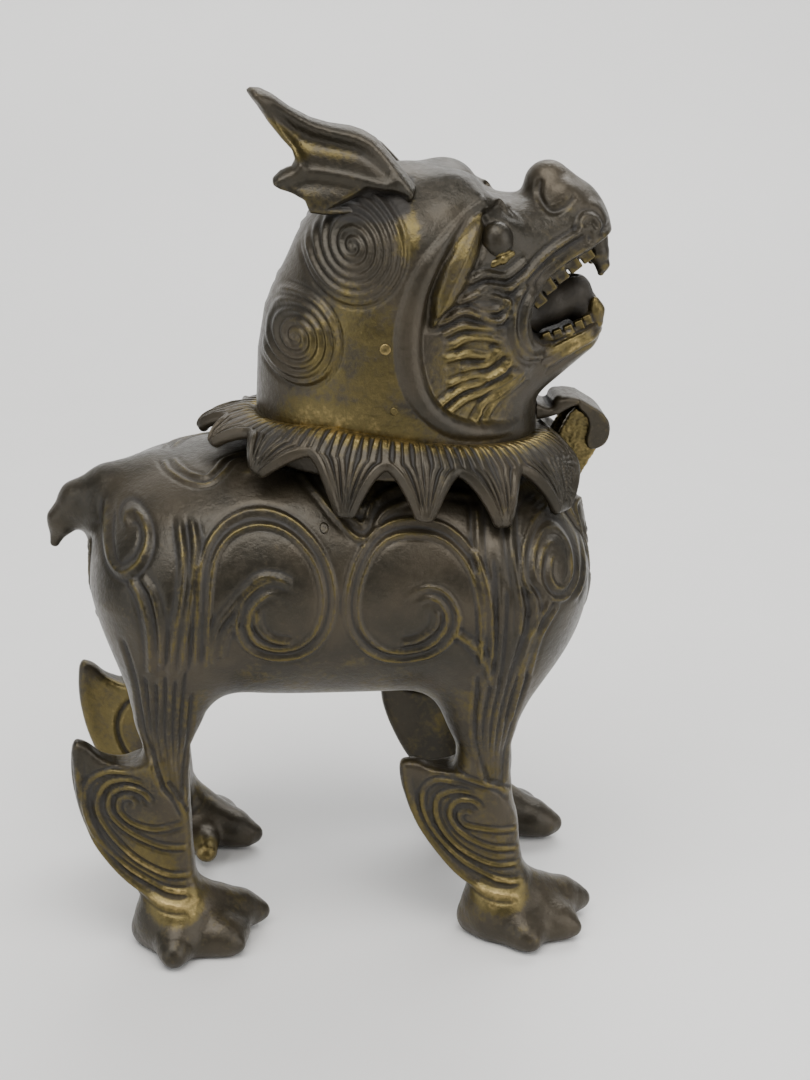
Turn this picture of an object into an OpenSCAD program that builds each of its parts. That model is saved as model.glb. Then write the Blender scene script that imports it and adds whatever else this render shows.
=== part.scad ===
// Foo-dog censer: a four-legged hollow body whose head is a lid hinged at the chest.
// The animal faces +X and stands on z = 0. It is symmetric about the XZ plane.
// Its origin is on the floor, under the middle of its length.

/* [Body] */
// Length of the barrel, from rump to chest
barrel_len = 103; // [99:1:106]
// Width of the barrel at its widest
barrel_w = 66; // [62:1:68]
// Depth of the barrel from back to belly
barrel_h = 54; // [52:0.5:56]
// Height of the barrel's middle above the floor
barrel_z = 76.5; // [76:0.5:77]
// Thickness of the cast wall
wall = 2.6; // [2:0.1:3]

/* [Legs] */
// Distance of each leg's middle from the plane of symmetry
leg_y = 21; // [20:0.5:22]
// Thickness of the flame fins behind the lower legs
fin_t = 5; // [4:0.5:6]

/* [Head] */
// Radius of the neck along the animal's length
neck_rx = 28.5; // [27.5:0.5:29]
// Radius of the neck across the animal
neck_ry = 23.5; // [22.5:0.5:24]
// Height of the seat on which the neck stands
seat_z = 101; // [100.5:0.1:101.5]
// Distance of each ear's middle from the plane of symmetry
ear_y = 13; // [12:0.5:14]
// Number of cheek teeth on each side of the upper jaw
tooth_n = 5; // [4:1:5]

/* [Collar] */
// Radius to the lock tips along the animal's length
collar_rx = 39.5; // [38:0.5:40]
// Radius to the lock tips across the animal
collar_ry = 32.5; // [31:0.5:33]
// Thickness of the locks
lock_t = 2.2; // [2:0.1:2.4]

/* [Hinge] */
// Place of the hinge pin's axis along X
pin_x = 54; // [53.5:0.1:54.5]
// Height of the hinge pin's axis
pin_z = 104; // [103.5:0.1:104.5]
// Radius of the hinge pin
pin_r = 1; // [0.9:0.05:1.1]
// Clearance of the pin in the knuckle, on the radius
pin_gap = 0.05; // [0.02:0.01:0.1]
// Half the width of the knuckle between the cheeks
knuckle_hw = 2.1; // [1.9:0.1:2.3]
// Thickness of each bracket cheek
cheek_t = 1.6; // [1.4:0.1:1.8]

/* [Hidden] */

ring_n = 36;
ball_n = 20;
gap = 0.3;
far = 400;
bronze = "#463c32";
brass = "#8a7340";
neck_x = 14;
seat_gap = 1.2;
cheek_y = knuckle_hw + 0.3;
bracket_hw = cheek_y + cheek_t;
flange_y = bracket_hw + 0.15;
strap_hw = flange_y + 0.8;
knuckle_r = 3.6;
corner_r = 2.2;

// Stations of the barrel from rump to chest. Each is a share of half the length,
// the middle's rise, and the shares of half the width and half the depth.
BARREL = [
    [-1.00, 7, 0.10, 0.14], [-0.97, 6, 0.38, 0.38], [-0.88, 4, 0.66, 0.62],
    [-0.72, 2, 0.86, 0.84], [-0.42, 0.5, 0.97, 0.98], [0.00, 0, 1.00, 1.00],
    [0.38, -0.5, 0.99, 0.98], [0.66, -1, 0.92, 0.90], [0.84, -1, 0.78, 0.76],
    [0.95, 0, 0.54, 0.52], [1.00, 0, 0.20, 0.20]
];
// Angles of the mane's lock tips about the neck on one side, 0 at the chest
LOCKS = [40, 63, 87, 109, 138, 161, 180];

function sgn_pow(v, p) = sign(v) * pow(abs(v), p);

// A ring of points across the barrel, boxier than an ellipse
function barrel_ring(s, inset) = [
    for (i = [0 : ring_n - 1])
        let (
            a = 360 * i / ring_n,
            hw = max(barrel_w / 2 * s[2] - inset, 0.6),
            hh = max(barrel_h / 2 * s[3] - inset, 0.6)
        )
        [
            2.5 + (barrel_len / 2 - inset) * s[0],
            hw * sgn_pow(cos(a), 0.86),
            barrel_z + s[1] + hh * sgn_pow(sin(a), 0.86)
        ]
];

function flatten(rows) = [for (r = rows) for (p = r) p];

// A closed solid through rings that all have the same number of points
module loft(rings) {
    n = len(rings[0]);
    m = len(rings);
    sides = [
        for (j = [0 : m - 2]) for (i = [0 : n - 1])
            let (k = (i + 1) % n) [(j + 1) * n + i, (j + 1) * n + k, j * n + k, j * n + i]
    ];
    low = [for (i = [0 : n - 1]) i];
    high = [for (i = [0 : n - 1]) m * n - 1 - i];
    polyhedron(points = flatten(rings), faces = concat(sides, [low, high]), convexity = 6);
}

module ball(p, r) {
    translate(p) sphere(r = r, $fn = ball_n);
}

// A solid that tapers between two or more balls, each given as [x, y, z, r]
module limb(balls) {
    hull() for (b = balls) ball([b[0], b[1], b[2]], b[3]);
}

module oval(rx, ry, z0, z1, x0 = neck_x) {
    translate([x0, 0, z0]) scale([1, ry / rx, 1]) cylinder(r = rx, h = z1 - z0, $fn = 64);
}

module right_or_left(left) {
    mirror([0, left ? 1 : 0, 0]) children();
}

module barrel_outer() {
    loft([for (s = BARREL) barrel_ring(s, 0)]);
}

module barrel_inner() {
    loft([for (s = BARREL) barrel_ring(s, wall)]);
}

module seat_cut() {
    oval(neck_rx + seat_gap, neck_ry + seat_gap, seat_z, seat_z + 20);
}

// Hollow barrel with a sunk oval seat and the opening that the head covers
module vessel() {
    color(bronze) difference() {
        barrel_outer();
        barrel_inner();
        seat_cut();
        oval(neck_rx - 5, neck_ry - 5, barrel_z, seat_z + 20);
    }
}

// One leg, drawn on the right side. The hip is its x, its height and its radius.
module leg(ankle_x, hip, shaft_r, fin, left) {
    y = -leg_y;
    color(bronze) right_or_left(left) difference() {
        union() {
            limb([[hip[0], y, hip[1], hip[2]], [ankle_x - 2, y, 42, shaft_r]]);
            limb([[ankle_x - 2, y, 42, shaft_r], [ankle_x + 1, y - 2, 14, shaft_r]]);
            translate([0, y + 2 + fin_t / 2, 0]) rotate([90, 0, 0])
                linear_extrude(height = fin_t) polygon(fin);
            paw(ankle_x, y - 3);
        }
        barrel_outer();
        translate([-far / 2, -far / 2, -far]) cube(far);
    }
}

// Flat-soled paw with a heel lobe and three toes that end in blunt claws
module paw(x, y) {
    toes = [[19, 5, 3.2], [17, -4.5, 3.5], [6, -9, 3.4]];
    hull() {
        ball([x, y + 2, 8], 6);
        ball([x + 8, y, 5.5], 5.5);
        translate([x + 3, y, 0]) cylinder(r = 8.5, h = 2, $fn = 32);
    }
    for (t = toes) hull() {
        ball([x + 6, y - 1, 5], 4.5);
        ball([x + t[0] - 1, y + t[1], t[2]], t[2]);
    }
    hull() {
        ball([x - 2, y + 1, 5], 4.5);
        ball([x - 5.5, y + 2, 3.2], 3.2);
    }
}

function fin_outline(x) = [
    [x + 2, 44], [x - 6, 42], [x - 13, 43.5], [x - 18, 46], [x - 19.5, 44.5],
    [x - 18.5, 34], [x - 15.5, 25], [x - 11, 18], [x - 4, 12], [x + 3, 12]
];

module leg_front_right() { leg(33, [33, 60, 10], 6.2, fin_outline(33), false); }
module leg_front_left() { leg(33, [33, 60, 10], 6.2, fin_outline(33), true); }
module leg_hind_right() { leg(-34, [-33, 60, 9.5], 5.2, fin_outline(-33), false); }
module leg_hind_left() { leg(-34, [-33, 60, 9.5], 5.2, fin_outline(-33), true); }

module tail() {
    color(bronze) difference() {
        union() {
            limb([[-40, 0, 95, 6], [-48.5, 0, 92.5, 4.4]]);
            limb([[-48.5, 0, 92.5, 4.4], [-53.5, 0, 88, 3.4]]);
            limb([[-53.5, 0, 88, 3.4], [-56, 0, 81.5, 1.4]]);
        }
        barrel_outer();
    }
}

// Outline of a bracket cheek seen from the side, round about the pin
module cheek_outline() {
    hull() {
        translate([pin_x, pin_z]) circle(r = corner_r, $fn = 48);
        translate([pin_x - 3.9, pin_z + 4.6]) circle(r = 1, $fn = 24);
        translate([pin_x - 6.4, pin_z - 0.2]) circle(r = 1, $fn = 24);
        translate([pin_x - 7, pin_z - 16]) circle(r = 1.6, $fn = 24);
    }
}

module upright(y0, t) {
    translate([0, y0 + t, 0]) rotate([90, 0, 0]) linear_extrude(height = t) children();
}

// Brass cheek bored for the pin. It grows out of the chest.
module cheek(left) {
    color(brass) right_or_left(left) difference() {
        upright(-cheek_y - cheek_t, cheek_t) cheek_outline();
        barrel_outer();
        upright(-cheek_y - 3 * cheek_t, 4 * cheek_t)
            translate([pin_x, pin_z]) circle(r = pin_r + 0.01, $fn = 48);
    }
}
module bracket_cheek_right() { cheek(false); }
module bracket_cheek_left() { cheek(true); }

// Web that joins the two cheeks low on the chest
module bracket_back() {
    color(brass) difference() {
        upright(-cheek_y, 2 * cheek_y) intersection() {
            cheek_outline();
            translate([pin_x - 20, pin_z - 30]) square([40, 30 - knuckle_r - 2.4]);
        }
        barrel_outer();
    }
}

// Pin through both cheeks. The strap's flanges cover its ends.
module hinge_pin() {
    color(brass) translate([pin_x, 0, pin_z]) rotate([90, 0, 0])
        cylinder(r = pin_r, h = 2 * bracket_hw, center = true, $fn = 48);
}

// Round plug that closes a core-pin hole of the casting
module plug(p, r, h) {
    translate(p) rotate([90, 0, 0]) cylinder(r = r, h = h, $fn = 48);
}

module flank_plug(left) {
    color(brass) right_or_left(left) difference() {
        plug([-3, -24, 94], 1.2, 3.3);
        loft([for (s = BARREL) barrel_ring(s, -0.02)]);
    }
}
module flank_plug_right() { flank_plug(false); }
module flank_plug_left() { flank_plug(true); }

// Neck, skull, brow and muzzle as one solid, grown or shrunk by the inset
module head_form(inset) {
    low = seat_z + gap - (inset > 0 ? 1 : 0);
    hull() {
        oval(neck_rx - inset, neck_ry - inset, low, seat_z + 9);
        translate([-1, 0, 0]) oval(neck_rx - inset - 3, neck_ry - inset - 2, 118, 130);
    }
    hull() {
        translate([-1, 0, 0]) oval(neck_rx - inset - 3, neck_ry - inset - 2, 118, 130);
        for (s = [-1, 1]) {
            ball([4, s * 7, 146], 12 - inset);
            ball([22, s * 8, 145], 12 - inset);
        }
    }
    hull() {
        ball([22, -7, 144], 11.5 - inset);
        ball([22, 7, 144], 11.5 - inset);
        ball([46, -4, 146.5], 6.8 - inset);
        ball([46, 4, 146.5], 6.8 - inset);
    }
    hull() {
        for (s = [-1, 1]) ball([30, s * 6, 122], 9.5 - inset);
        for (s = [-1, 1]) ball([20, s * 8, 142], 11 - inset);
        ball([30, 0, 117], 10 - inset);
    }
}

// Nose, brows and lips that stand on the skull
module head_trim() {
    for (s = [-1, 1]) {
        limb([[18, s * 9, 152, 4.5], [29, s * 9, 153, 3]]);
        ball([50, s * 4.5, 147], 4);
    }
    limb([[42.5, 0, 155.5, 4], [36, 0, 149, 5], [48, 0, 151, 4.5]]);
}

// Wedge of air between the jaws. It runs from the lips back into the hollow head.
module mouth_space() {
    upright(-11, 22) polygon([
        [20, 124], [36, 130], [42, 134.5], [50, 141.5], [70, 146], [70, 131], [54, 130],
        [42, 125], [34, 121.5], [20, 118]
    ]);
}

module head_shell() {
    color(bronze) difference() {
        union() {
            head_form(0);
            head_trim();
        }
        head_form(wall);
        mouth_space();
        jaw_form();
        oval(neck_rx - wall, neck_ry - wall, seat_z - 2, seat_z + 6);
    }
}

module jaw_form() {
    hull() {
        for (s = [-1, 1]) {
            ball([36, s * 7, 121], 4.4);
            ball([51.5, s * 3.5, 126], 3.4);
        }
        ball([38, 0, 115.5], 4);
    }
}

// Lower jaw with its hollow floor behind the lip
module lower_jaw() {
    color(bronze) difference() {
        jaw_form();
        mouth_space();
        jaw_hollow();
        head_form(wall);
    }
}

// Scooped floor of the mouth, in which the tongue lies
module jaw_hollow() {
    hull() for (s = [-1, 1]) {
        ball([34, s * 5, 124], 4);
        ball([48, s * 2.2, 129.5], 3);
    }
}

module tongue_form() {
    limb([[36, 0, 121.6, 2.6], [44, 0, 126.4, 2.4]]);
    limb([[44, 0, 126.4, 2.4], [49.5, 0, 131.5, 1.7]]);
}

module tongue() {
    color(bronze) difference() {
        tongue_form();
        difference() {
            jaw_form();
            jaw_hollow();
        }
        head_form(wall);
    }
}

// Row of blunt teeth along the edge of the upper lip
module upper_teeth() {
    color(brass) difference() {
        for (s = [-1, 1]) for (i = [0 : tooth_n - 1])
            let (t = i / (tooth_n - 1), w = 9.2 - 2.6 * t)
            translate([40.3 + 8.2 * t, s * w, 133.5 + 6.9 * t])
                rotate([0, -40, 0]) cube([2.2, 1.8, 4.6], center = true);
        solid_upper_head();
    }
}

module solid_upper_head() {
    difference() {
        union() {
            head_form(0);
            head_trim();
        }
        head_form(wall);
        mouth_space();
    }
}

module lower_teeth() {
    color(brass) difference() {
        for (s = [-1, 1]) for (i = [0 : 3])
            translate([43 + 2.9 * i, s * (6.8 - 1.1 * i), 127.4 + 1.1 * i])
                rotate([0, -22, 0]) cube([1.9, 1.6, 3.6], center = true);
        difference() {
            jaw_form();
            mouth_space();
            jaw_hollow();
        }
        tongue_form();
    }
}

module fang(left) {
    color(brass) right_or_left(left) difference() {
        limb([[52, -5, 144, 1.5], [52.2, -5.2, 139.4, 0.5]]);
        solid_upper_head();
    }
}
module fang_right() { fang(false); }
module fang_left() { fang(true); }

// Leaf-shaped ear that sweeps back and up from the side of the skull
module ear(left) {
    color(bronze) right_or_left(left) difference() {
        union() {
            limb([[9, -ear_y, 156, 5], [5, 2 - ear_y, 161.5, 3], [-17, 7.5 - ear_y, 174.1, 0.9],
                [-8, 2 - ear_y, 162, 1.5]]);
            limb([[9, -ear_y, 155, 5], [-4, -ear_y, 158, 2.5], [-11.5, -ear_y - 1, 158.5, 1.2],
                [-7, 2 - ear_y, 163, 1.5]]);
        }
        head_form(0);
        head_trim();
    }
}
module ear_right() { ear(false); }
module ear_left() { ear(true); }

module eye(left) {
    color(bronze) right_or_left(left) difference() {
        ball([31.5, -13, 146], 4.2);
        solid_upper_head();
        head_form(wall);
    }
}
module eye_right() { eye(false); }
module eye_left() { eye(true); }

// How far the locks reach at an angle about the neck: 1 at a tip, 0 in a valley
function lock_reach(a) = let (d = min([for (t = LOCKS) abs(a - t)])) max(0, 1 - d / 12.5);

// Height of the skirt's edge: it dips at the flanks and rises over the back
function edge_z(a, reach) = 101.5 - 6.5 * reach * pow(sin(a), 2)
    + 3.4 * max(0, -cos(a)) - 3 * max(0, cos(a)) * reach;

function collar_ring(level) = [
    for (i = [0 : 119])
        let (
            a = 3 * i,
            b = a > 180 ? 360 - a : a,
            reach = lock_reach(b),
            out = level == 0 || level == 3 ? 0 : 1,
            thick = level >= 2 ? lock_t : 0,
            rx = out == 0 ? neck_rx - 3 : neck_rx + 4 + (collar_rx - neck_rx - 4) * reach,
            ry = out == 0 ? neck_ry - 3 : neck_ry + 4 + (collar_ry - neck_ry - 4) * reach,
            z = out == 0 ? 105 + 2 * max(0, -cos(b)) + (level == 3 ? 5 : 0)
                : edge_z(b, reach) + thick
        )
        [neck_x + rx * cos(a), ry * sin(a), z]
];

// Mane skirt: a flared ring with pointed locks that stands clear of the body
module mane_collar() {
    color(bronze) difference() {
        loft_loop([for (k = [0 : 3]) collar_ring(k)]);
        head_form(0);
        translate([neck_x + 20, -strap_hw - gap, 80]) cube([40, 2 * (strap_hw + gap), 60]);
    }
}

// A closed ring-shaped solid: the last ring joins back to the first
module loft_loop(rings) {
    n = len(rings[0]);
    m = len(rings);
    polyhedron(points = flatten(rings), faces = [
        for (j = [0 : m - 1]) for (i = [0 : n - 1])
            let (k = (i + 1) % n, q = (j + 1) % m) each [
                [j * n + i, q * n + i, q * n + k], [j * n + i, q * n + k, j * n + k]
            ]
    ], convexity = 8);
}

// Outer edge of the strap seen from the side, from the top of its bend down to its lip
STRAP_EDGE = [
    [-6, 8.5], [-3.3, 8.1], [-1.4, 6.9], [1.3, 5.3], [2.9, 3.6], [3.4, 1.8], [3.2, -0.3],
    [1.6, -2.1], [0, -2.9]
];

// Strap from the front of the neck. It bends over the cheeks as a plate, runs down outside
// them as two flanges and holds the pin between them in its knuckle.
module hinge_strap() {
    color(bronze) difference() {
        translate([pin_x, 0, pin_z]) union() {
            upright(-knuckle_hw, 2 * knuckle_hw) difference() {
                union() {
                    circle(r = knuckle_r, $fn = 64);
                    polygon([[-2.4, 2], [-2.4, 7], [-1.4, 6.9], [1.3, 5.3], [2.9, 3.6], [3, 1]]);
                }
                circle(r = pin_r + pin_gap, $fn = 64);
            }
            upright(-strap_hw, 2 * strap_hw) polygon([
                [-6, 8.5], [-3.3, 8.1], [-1.4, 6.9], [1.3, 5.3], [2.9, 3.6], [1.2, 3],
                [-2.4, 6], [-3.6, 6.3], [-5, 5.9], [-8, 4.2], [-16, 3.6], [-16, 7.4],
                [-8.8, 6.4], [-8.2, 7.9]
            ]);
            for (side = [-strap_hw, flange_y]) upright(side, strap_hw - flange_y)
                polygon(concat(STRAP_EDGE, [
                    [-1.4, -2.4], [-1.6, 0], [-1.2, 2.6], [-2, 4.4], [-3.6, 6.3]
                ]));
        }
        head_form(0);
    }
}

module neck_plug(x, z, out_y, left) {
    color(brass) right_or_left(left) difference() {
        plug([x, 2 - out_y, z], 1.1, 2);
        head_form(0);
    }
}
module neck_plug_upper_right() { neck_plug(9, 127.5, 22, false); }
module neck_plug_lower_right() { neck_plug(11, 115.5, 23, false); }
module neck_plug_upper_left() { neck_plug(9, 127.5, 22, true); }
module neck_plug_lower_left() { neck_plug(11, 115.5, 23, true); }

vessel();
leg_front_right();
leg_front_left();
leg_hind_right();
leg_hind_left();
tail();
bracket_cheek_right();
bracket_cheek_left();
bracket_back();
hinge_pin();
flank_plug_right();
flank_plug_left();
head_shell();
lower_jaw();
tongue();
upper_teeth();
lower_teeth();
fang_right();
fang_left();
ear_right();
ear_left();
eye_right();
eye_left();
mane_collar();
hinge_strap();
neck_plug_upper_right();
neck_plug_lower_right();
neck_plug_upper_left();
neck_plug_lower_left();
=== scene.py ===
import math

import bpy
import numpy as np
from mathutils import Matrix, Vector


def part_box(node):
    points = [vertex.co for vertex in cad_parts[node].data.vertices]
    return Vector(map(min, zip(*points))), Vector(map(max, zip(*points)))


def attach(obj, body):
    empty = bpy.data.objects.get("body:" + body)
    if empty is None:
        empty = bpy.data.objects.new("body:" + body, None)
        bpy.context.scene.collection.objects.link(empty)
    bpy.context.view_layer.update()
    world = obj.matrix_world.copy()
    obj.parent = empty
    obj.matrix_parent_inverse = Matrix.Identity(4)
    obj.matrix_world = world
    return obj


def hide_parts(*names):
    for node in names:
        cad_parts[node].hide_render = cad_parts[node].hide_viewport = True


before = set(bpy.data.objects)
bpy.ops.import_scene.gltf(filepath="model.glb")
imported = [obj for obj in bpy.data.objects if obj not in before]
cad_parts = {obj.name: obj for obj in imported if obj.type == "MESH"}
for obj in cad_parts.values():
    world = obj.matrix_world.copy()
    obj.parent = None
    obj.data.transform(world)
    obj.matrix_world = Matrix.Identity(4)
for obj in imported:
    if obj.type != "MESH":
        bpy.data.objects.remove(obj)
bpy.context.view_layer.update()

MM = 0.001


def box_mm(node):
    low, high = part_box(node)
    return np.array(low) / MM, np.array(high) / MM


# ---------------------------------------------------------------- places, from the frame
BARREL_LOW, BARREL_HIGH = box_mm("vessel")
BARREL_MID = (BARREL_LOW + BARREL_HIGH) / 2
BARREL_HALF = (BARREL_HIGH - BARREL_LOW) / 2
PIN_LOW, PIN_HIGH = box_mm("hinge_pin")
PIN_X = (PIN_LOW[0] + PIN_HIGH[0]) / 2
PIN_Z = (PIN_LOW[2] + PIN_HIGH[2]) / 2
CHEEK_LOW, CHEEK_HIGH = box_mm("bracket_cheek_right")
CHEEK_T = CHEEK_HIGH[1] - CHEEK_LOW[1]
CHEEK_Y = -(CHEEK_LOW[1] + CHEEK_HIGH[1]) / 2
CHEEK_IN = CHEEK_Y - CHEEK_T / 2
CHEEK_OUT = CHEEK_Y + CHEEK_T / 2
PIN_R = 0.97
BORE_R = 1.03
NECK_X = 14.0
NECK_RX = 28.5
NECK_RY = 23.5
NECK_BOTTOM = box_mm("head_shell")[0][2]
SEAT_Z = NECK_BOTTOM - 0.3
WALL = 2.6
LEG_Y = -20.5
HIND_X = -33.5
FORE_X = 35.0


# ---------------------------------------------------------------- distance fields
# A field takes p = (x, y, z) arrays, with y folded to the right side, and gives the
# distance to a surface, negative inside.

def smooth_min(a, b, k):
    h = np.clip(0.5 + 0.5 * (b - a) / k, 0, 1)
    return b + (a - b) * h - k * h * (1 - h)


def smooth_max(a, b, k):
    return -smooth_min(-a, -b, k)


def merge(d, *parts):
    """Blends more shapes into d. Each part is a shape and the width of its blend."""
    for shape, k in parts:
        d = smooth_min(d, shape, k)
    return d


def ramp(v, low, high):
    t = np.clip((v - low) / (high - low), 0, 1)
    return t * t * (3 - 2 * t)


def ball(p, c, r):
    return np.sqrt((p[0] - c[0]) ** 2 + (p[1] - c[1]) ** 2 + (p[2] - c[2]) ** 2) - r


def egg(p, c, r):
    """An ellipsoid with centre c and radii r."""
    q = [(p[i] - c[i]) / r[i] for i in range(3)]
    k0 = np.sqrt(q[0] ** 2 + q[1] ** 2 + q[2] ** 2) + 1e-6
    k1 = np.sqrt(sum((q[i] / r[i]) ** 2 for i in range(3))) + 1e-6
    return k0 * (k0 - 1) / k1


def limb(p, a, b, ra, rb):
    """A rod from a to b whose radius goes from ra to rb."""
    d = [b[i] - a[i] for i in range(3)]
    w = [p[i] - a[i] for i in range(3)]
    t = np.clip(sum(w[i] * d[i] for i in range(3)) / sum(v * v for v in d), 0, 1)
    gap = sum((w[i] - t * d[i]) ** 2 for i in range(3))
    return np.sqrt(gap) - (ra + (rb - ra) * t)


def chain(p, points, k=1.5):
    """Rods joined end to end. Each point is (x, y, z, radius)."""
    rods = [limb(p, a, b, a[3], b[3]) for a, b in zip(points, points[1:])]
    return merge(rods[0], *((rod, k) for rod in rods[1:]))


def outline(u, v, pts):
    """Signed distance in a plane to a closed outline."""
    best = np.full(u.shape, 1e9, dtype=u.dtype)
    inside = np.zeros(u.shape, dtype=bool)
    n = len(pts)
    for i in range(n):
        ax, ay = pts[i]
        bx, by = pts[(i + 1) % n]
        ex, ey = bx - ax, by - ay
        wx, wy = u - ax, v - ay
        t = np.clip((wx * ex + wy * ey) / (ex * ex + ey * ey), 0, 1)
        best = np.minimum(best, (wx - t * ex) ** 2 + (wy - t * ey) ** 2)
        if ey != 0:
            cross = (ay > v) != (by > v)
            inside ^= cross & (u < ex * wy / ey + ax)
    best = np.sqrt(best)
    return np.where(inside, -best, best)


def oval_wall(p, cx, rx, ry):
    """An upright tube of oval section."""
    u, v = (p[0] - cx) / rx, p[1] / ry
    g = u * u + v * v - 1
    return g / (2 * np.sqrt((u / rx) ** 2 + (v / ry) ** 2) + 1e-4)


def off_axis(p, x, z):
    """Distance from a line that runs across the animal."""
    return np.sqrt((p[0] - x) ** 2 + (p[2] - z) ** 2)


def barrel(p, inset=0.0):
    """The body: a boxy egg, fuller at the chest and lifted at the rump."""
    middle, above, below, ends, sides = 76.5, 27.0, 25.0, 3.5, 2.35
    hx, hy = BARREL_HALF[:2] - inset
    u = (p[0] - BARREL_MID[0]) / hx
    lift = 3.0 * ramp(-u, 0.35, 1.0) - 1.0 * ramp(u, 0.2, 0.8)
    hz = np.where(p[2] > middle + lift, above - 2.2 * ramp(-u, 0.2, 0.75), below) - inset
    w = (p[2] - middle - lift) / hz
    v = p[1] / (hy * (1 - 0.05 * ramp(-u, 0.2, 1.0)))
    parts = ((u, ends, hx), (v, sides, hy), (w, sides, hz))
    g = sum(np.abs(t) ** power for t, power, _ in parts) - 1
    slope = np.sqrt(sum(
        (power * np.abs(t) ** (power - 1) / half) ** 2 for t, power, half in parts))
    return g / (slope + 0.004)


# ---------------------------------------------------------------- meshing
BLOCK = 8


def fold(p):
    return p[0], -np.abs(p[1]), p[2]


def lattice(field, low, high, step):
    """Samples a mirror-symmetric field near its surface, on nodes from y = 0 outwards."""
    low, high = np.array(low, float), np.array(high, float)
    reach = (high[0] - low[0], -low[1], high[2] - low[2])
    count = [int(math.ceil(r / step / BLOCK)) for r in reach]
    start = np.array([low[0], 0.0, low[2]])
    sign = np.array([1.0, -1.0, 1.0])
    mids = [
        start[i] + sign[i] * step * BLOCK * (np.arange(count[i]) + 0.5) for i in range(3)
    ]
    grid = np.meshgrid(*mids, indexing="ij")
    rough = field(tuple(g.astype(np.float32) for g in grid))
    near = np.abs(rough) < 1.45 * step * BLOCK
    outer = np.where(rough < 0, -1.0, 1.0).astype(np.float32)
    values = np.repeat(np.repeat(np.repeat(outer, BLOCK, 0), BLOCK, 1), BLOCK, 2)
    values = np.pad(values, ((0, 1), (0, 1), (0, 1)), mode="edge")
    cells = np.argwhere(near)
    offs = np.arange(BLOCK + 1, dtype=np.float32) * step
    for first in range(0, len(cells), 500):
        some = cells[first:first + 500]
        base = start + sign * some * (step * BLOCK)
        shape = (len(some), BLOCK + 1, BLOCK + 1, BLOCK + 1)
        px = base[:, 0, None, None, None] + offs[None, :, None, None]
        py = base[:, 1, None, None, None] - offs[None, None, :, None]
        pz = base[:, 2, None, None, None] + offs[None, None, None, :]
        p = tuple(
            np.broadcast_to(a, shape).astype(np.float32).reshape(-1) for a in (px, py, pz)
        )
        v = field(p).reshape(shape)
        for c, block in zip(some, v):
            i, j, k = c * BLOCK
            values[i:i + BLOCK + 1, j:j + BLOCK + 1, k:k + BLOCK + 1] = block
    full = np.concatenate([values[:, :0:-1], values], axis=1)
    origin = np.array([low[0], count[1] * BLOCK * step, low[2]])
    return full, origin


def surface_net(values, origin, step):
    """Quads through a lattice's sign changes. Lattice rows run along -Y."""
    inside = values < 0
    shape = np.array(values.shape) - 1
    total = np.zeros(shape, dtype=np.int8)
    corners = [(i, j, k) for i in (0, 1) for j in (0, 1) for k in (0, 1)]
    for i, j, k in corners:
        total += inside[i:i + shape[0], j:j + shape[1], k:k + shape[2]]
    cells = np.argwhere((total > 0) & (total < 8))
    index = np.full(shape, -1, dtype=np.int32)
    index[tuple(cells.T)] = np.arange(len(cells))
    v = np.stack([
        values[cells[:, 0] + i, cells[:, 1] + j, cells[:, 2] + k] for i, j, k in corners
    ])
    spot = np.zeros((len(cells), 3))
    hits = np.zeros(len(cells))
    for a, ca in enumerate(corners):
        for b, cb in enumerate(corners):
            if b <= a or sum(abs(ca[n] - cb[n]) for n in range(3)) != 1:
                continue
            cross = (v[a] < 0) != (v[b] < 0)
            t = np.where(cross, v[a] / np.where(cross, v[a] - v[b], 1), 0)
            for n in range(3):
                spot[:, n] += np.where(cross, ca[n] + t * (cb[n] - ca[n]), 0)
            hits += cross
    spot = (cells + spot / hits[:, None]) * step
    points = origin + spot * np.array([1, -1, 1])
    quads = []
    for axis in range(3):
        lo, hi = [slice(None)] * 3, [slice(None)] * 3
        lo[axis], hi[axis] = slice(0, -1), slice(1, None)
        ends = np.argwhere(inside[tuple(lo)] != inside[tuple(hi)])
        b, c = (axis + 1) % 3, (axis + 2) % 3
        keep = (ends[:, b] > 0) & (ends[:, c] > 0)
        keep &= (ends[:, b] < shape[b]) & (ends[:, c] < shape[c])
        ends = ends[keep]
        flip = inside[tuple(ends.T)]
        ring = []
        for db, dc in ((0, 0), (-1, 0), (-1, -1), (0, -1)):
            at = ends.copy()
            at[:, b] += db
            at[:, c] += dc
            ring.append(index[tuple(at.T)])
        quad = np.stack(ring, 1)
        quad[flip] = quad[flip][:, ::-1]
        quads.append(quad)
    quads = np.concatenate(quads)
    return points, quads[(quads >= 0).all(1)]


def slope_of(field, p, eps=0.06):
    """The field's value and unit slope at points, from four samples about each."""
    total = np.zeros_like(p)
    mean = 0
    for k in ((1, -1, -1), (-1, -1, 1), (-1, 1, -1), (1, 1, 1)):
        q = p + np.array(k) * eps
        v = field(fold(tuple(q.T)))
        mean = mean + v / 4
        total += v[:, None] * np.array(k)
    total /= 4 * eps
    size = np.linalg.norm(total, axis=1, keepdims=True)
    return mean, total / np.maximum(size, 1e-6), size[:, 0]


def sculpt(field, low, high, step, settle=2):
    """Points, quads and outward normals of a field's surface."""
    values, origin = lattice(field, low, high, step)
    points, quads = surface_net(values, origin, step)
    for _ in range(settle):
        value, normal, size = slope_of(field, points)
        move = np.clip(value / np.maximum(size, 0.3), -0.6 * step, 0.6 * step)
        points = points - 0.8 * move[:, None] * normal
    normal = slope_of(field, points)[1]
    return points, quads, normal


# ---------------------------------------------------------------- lines chased into the metal

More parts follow.
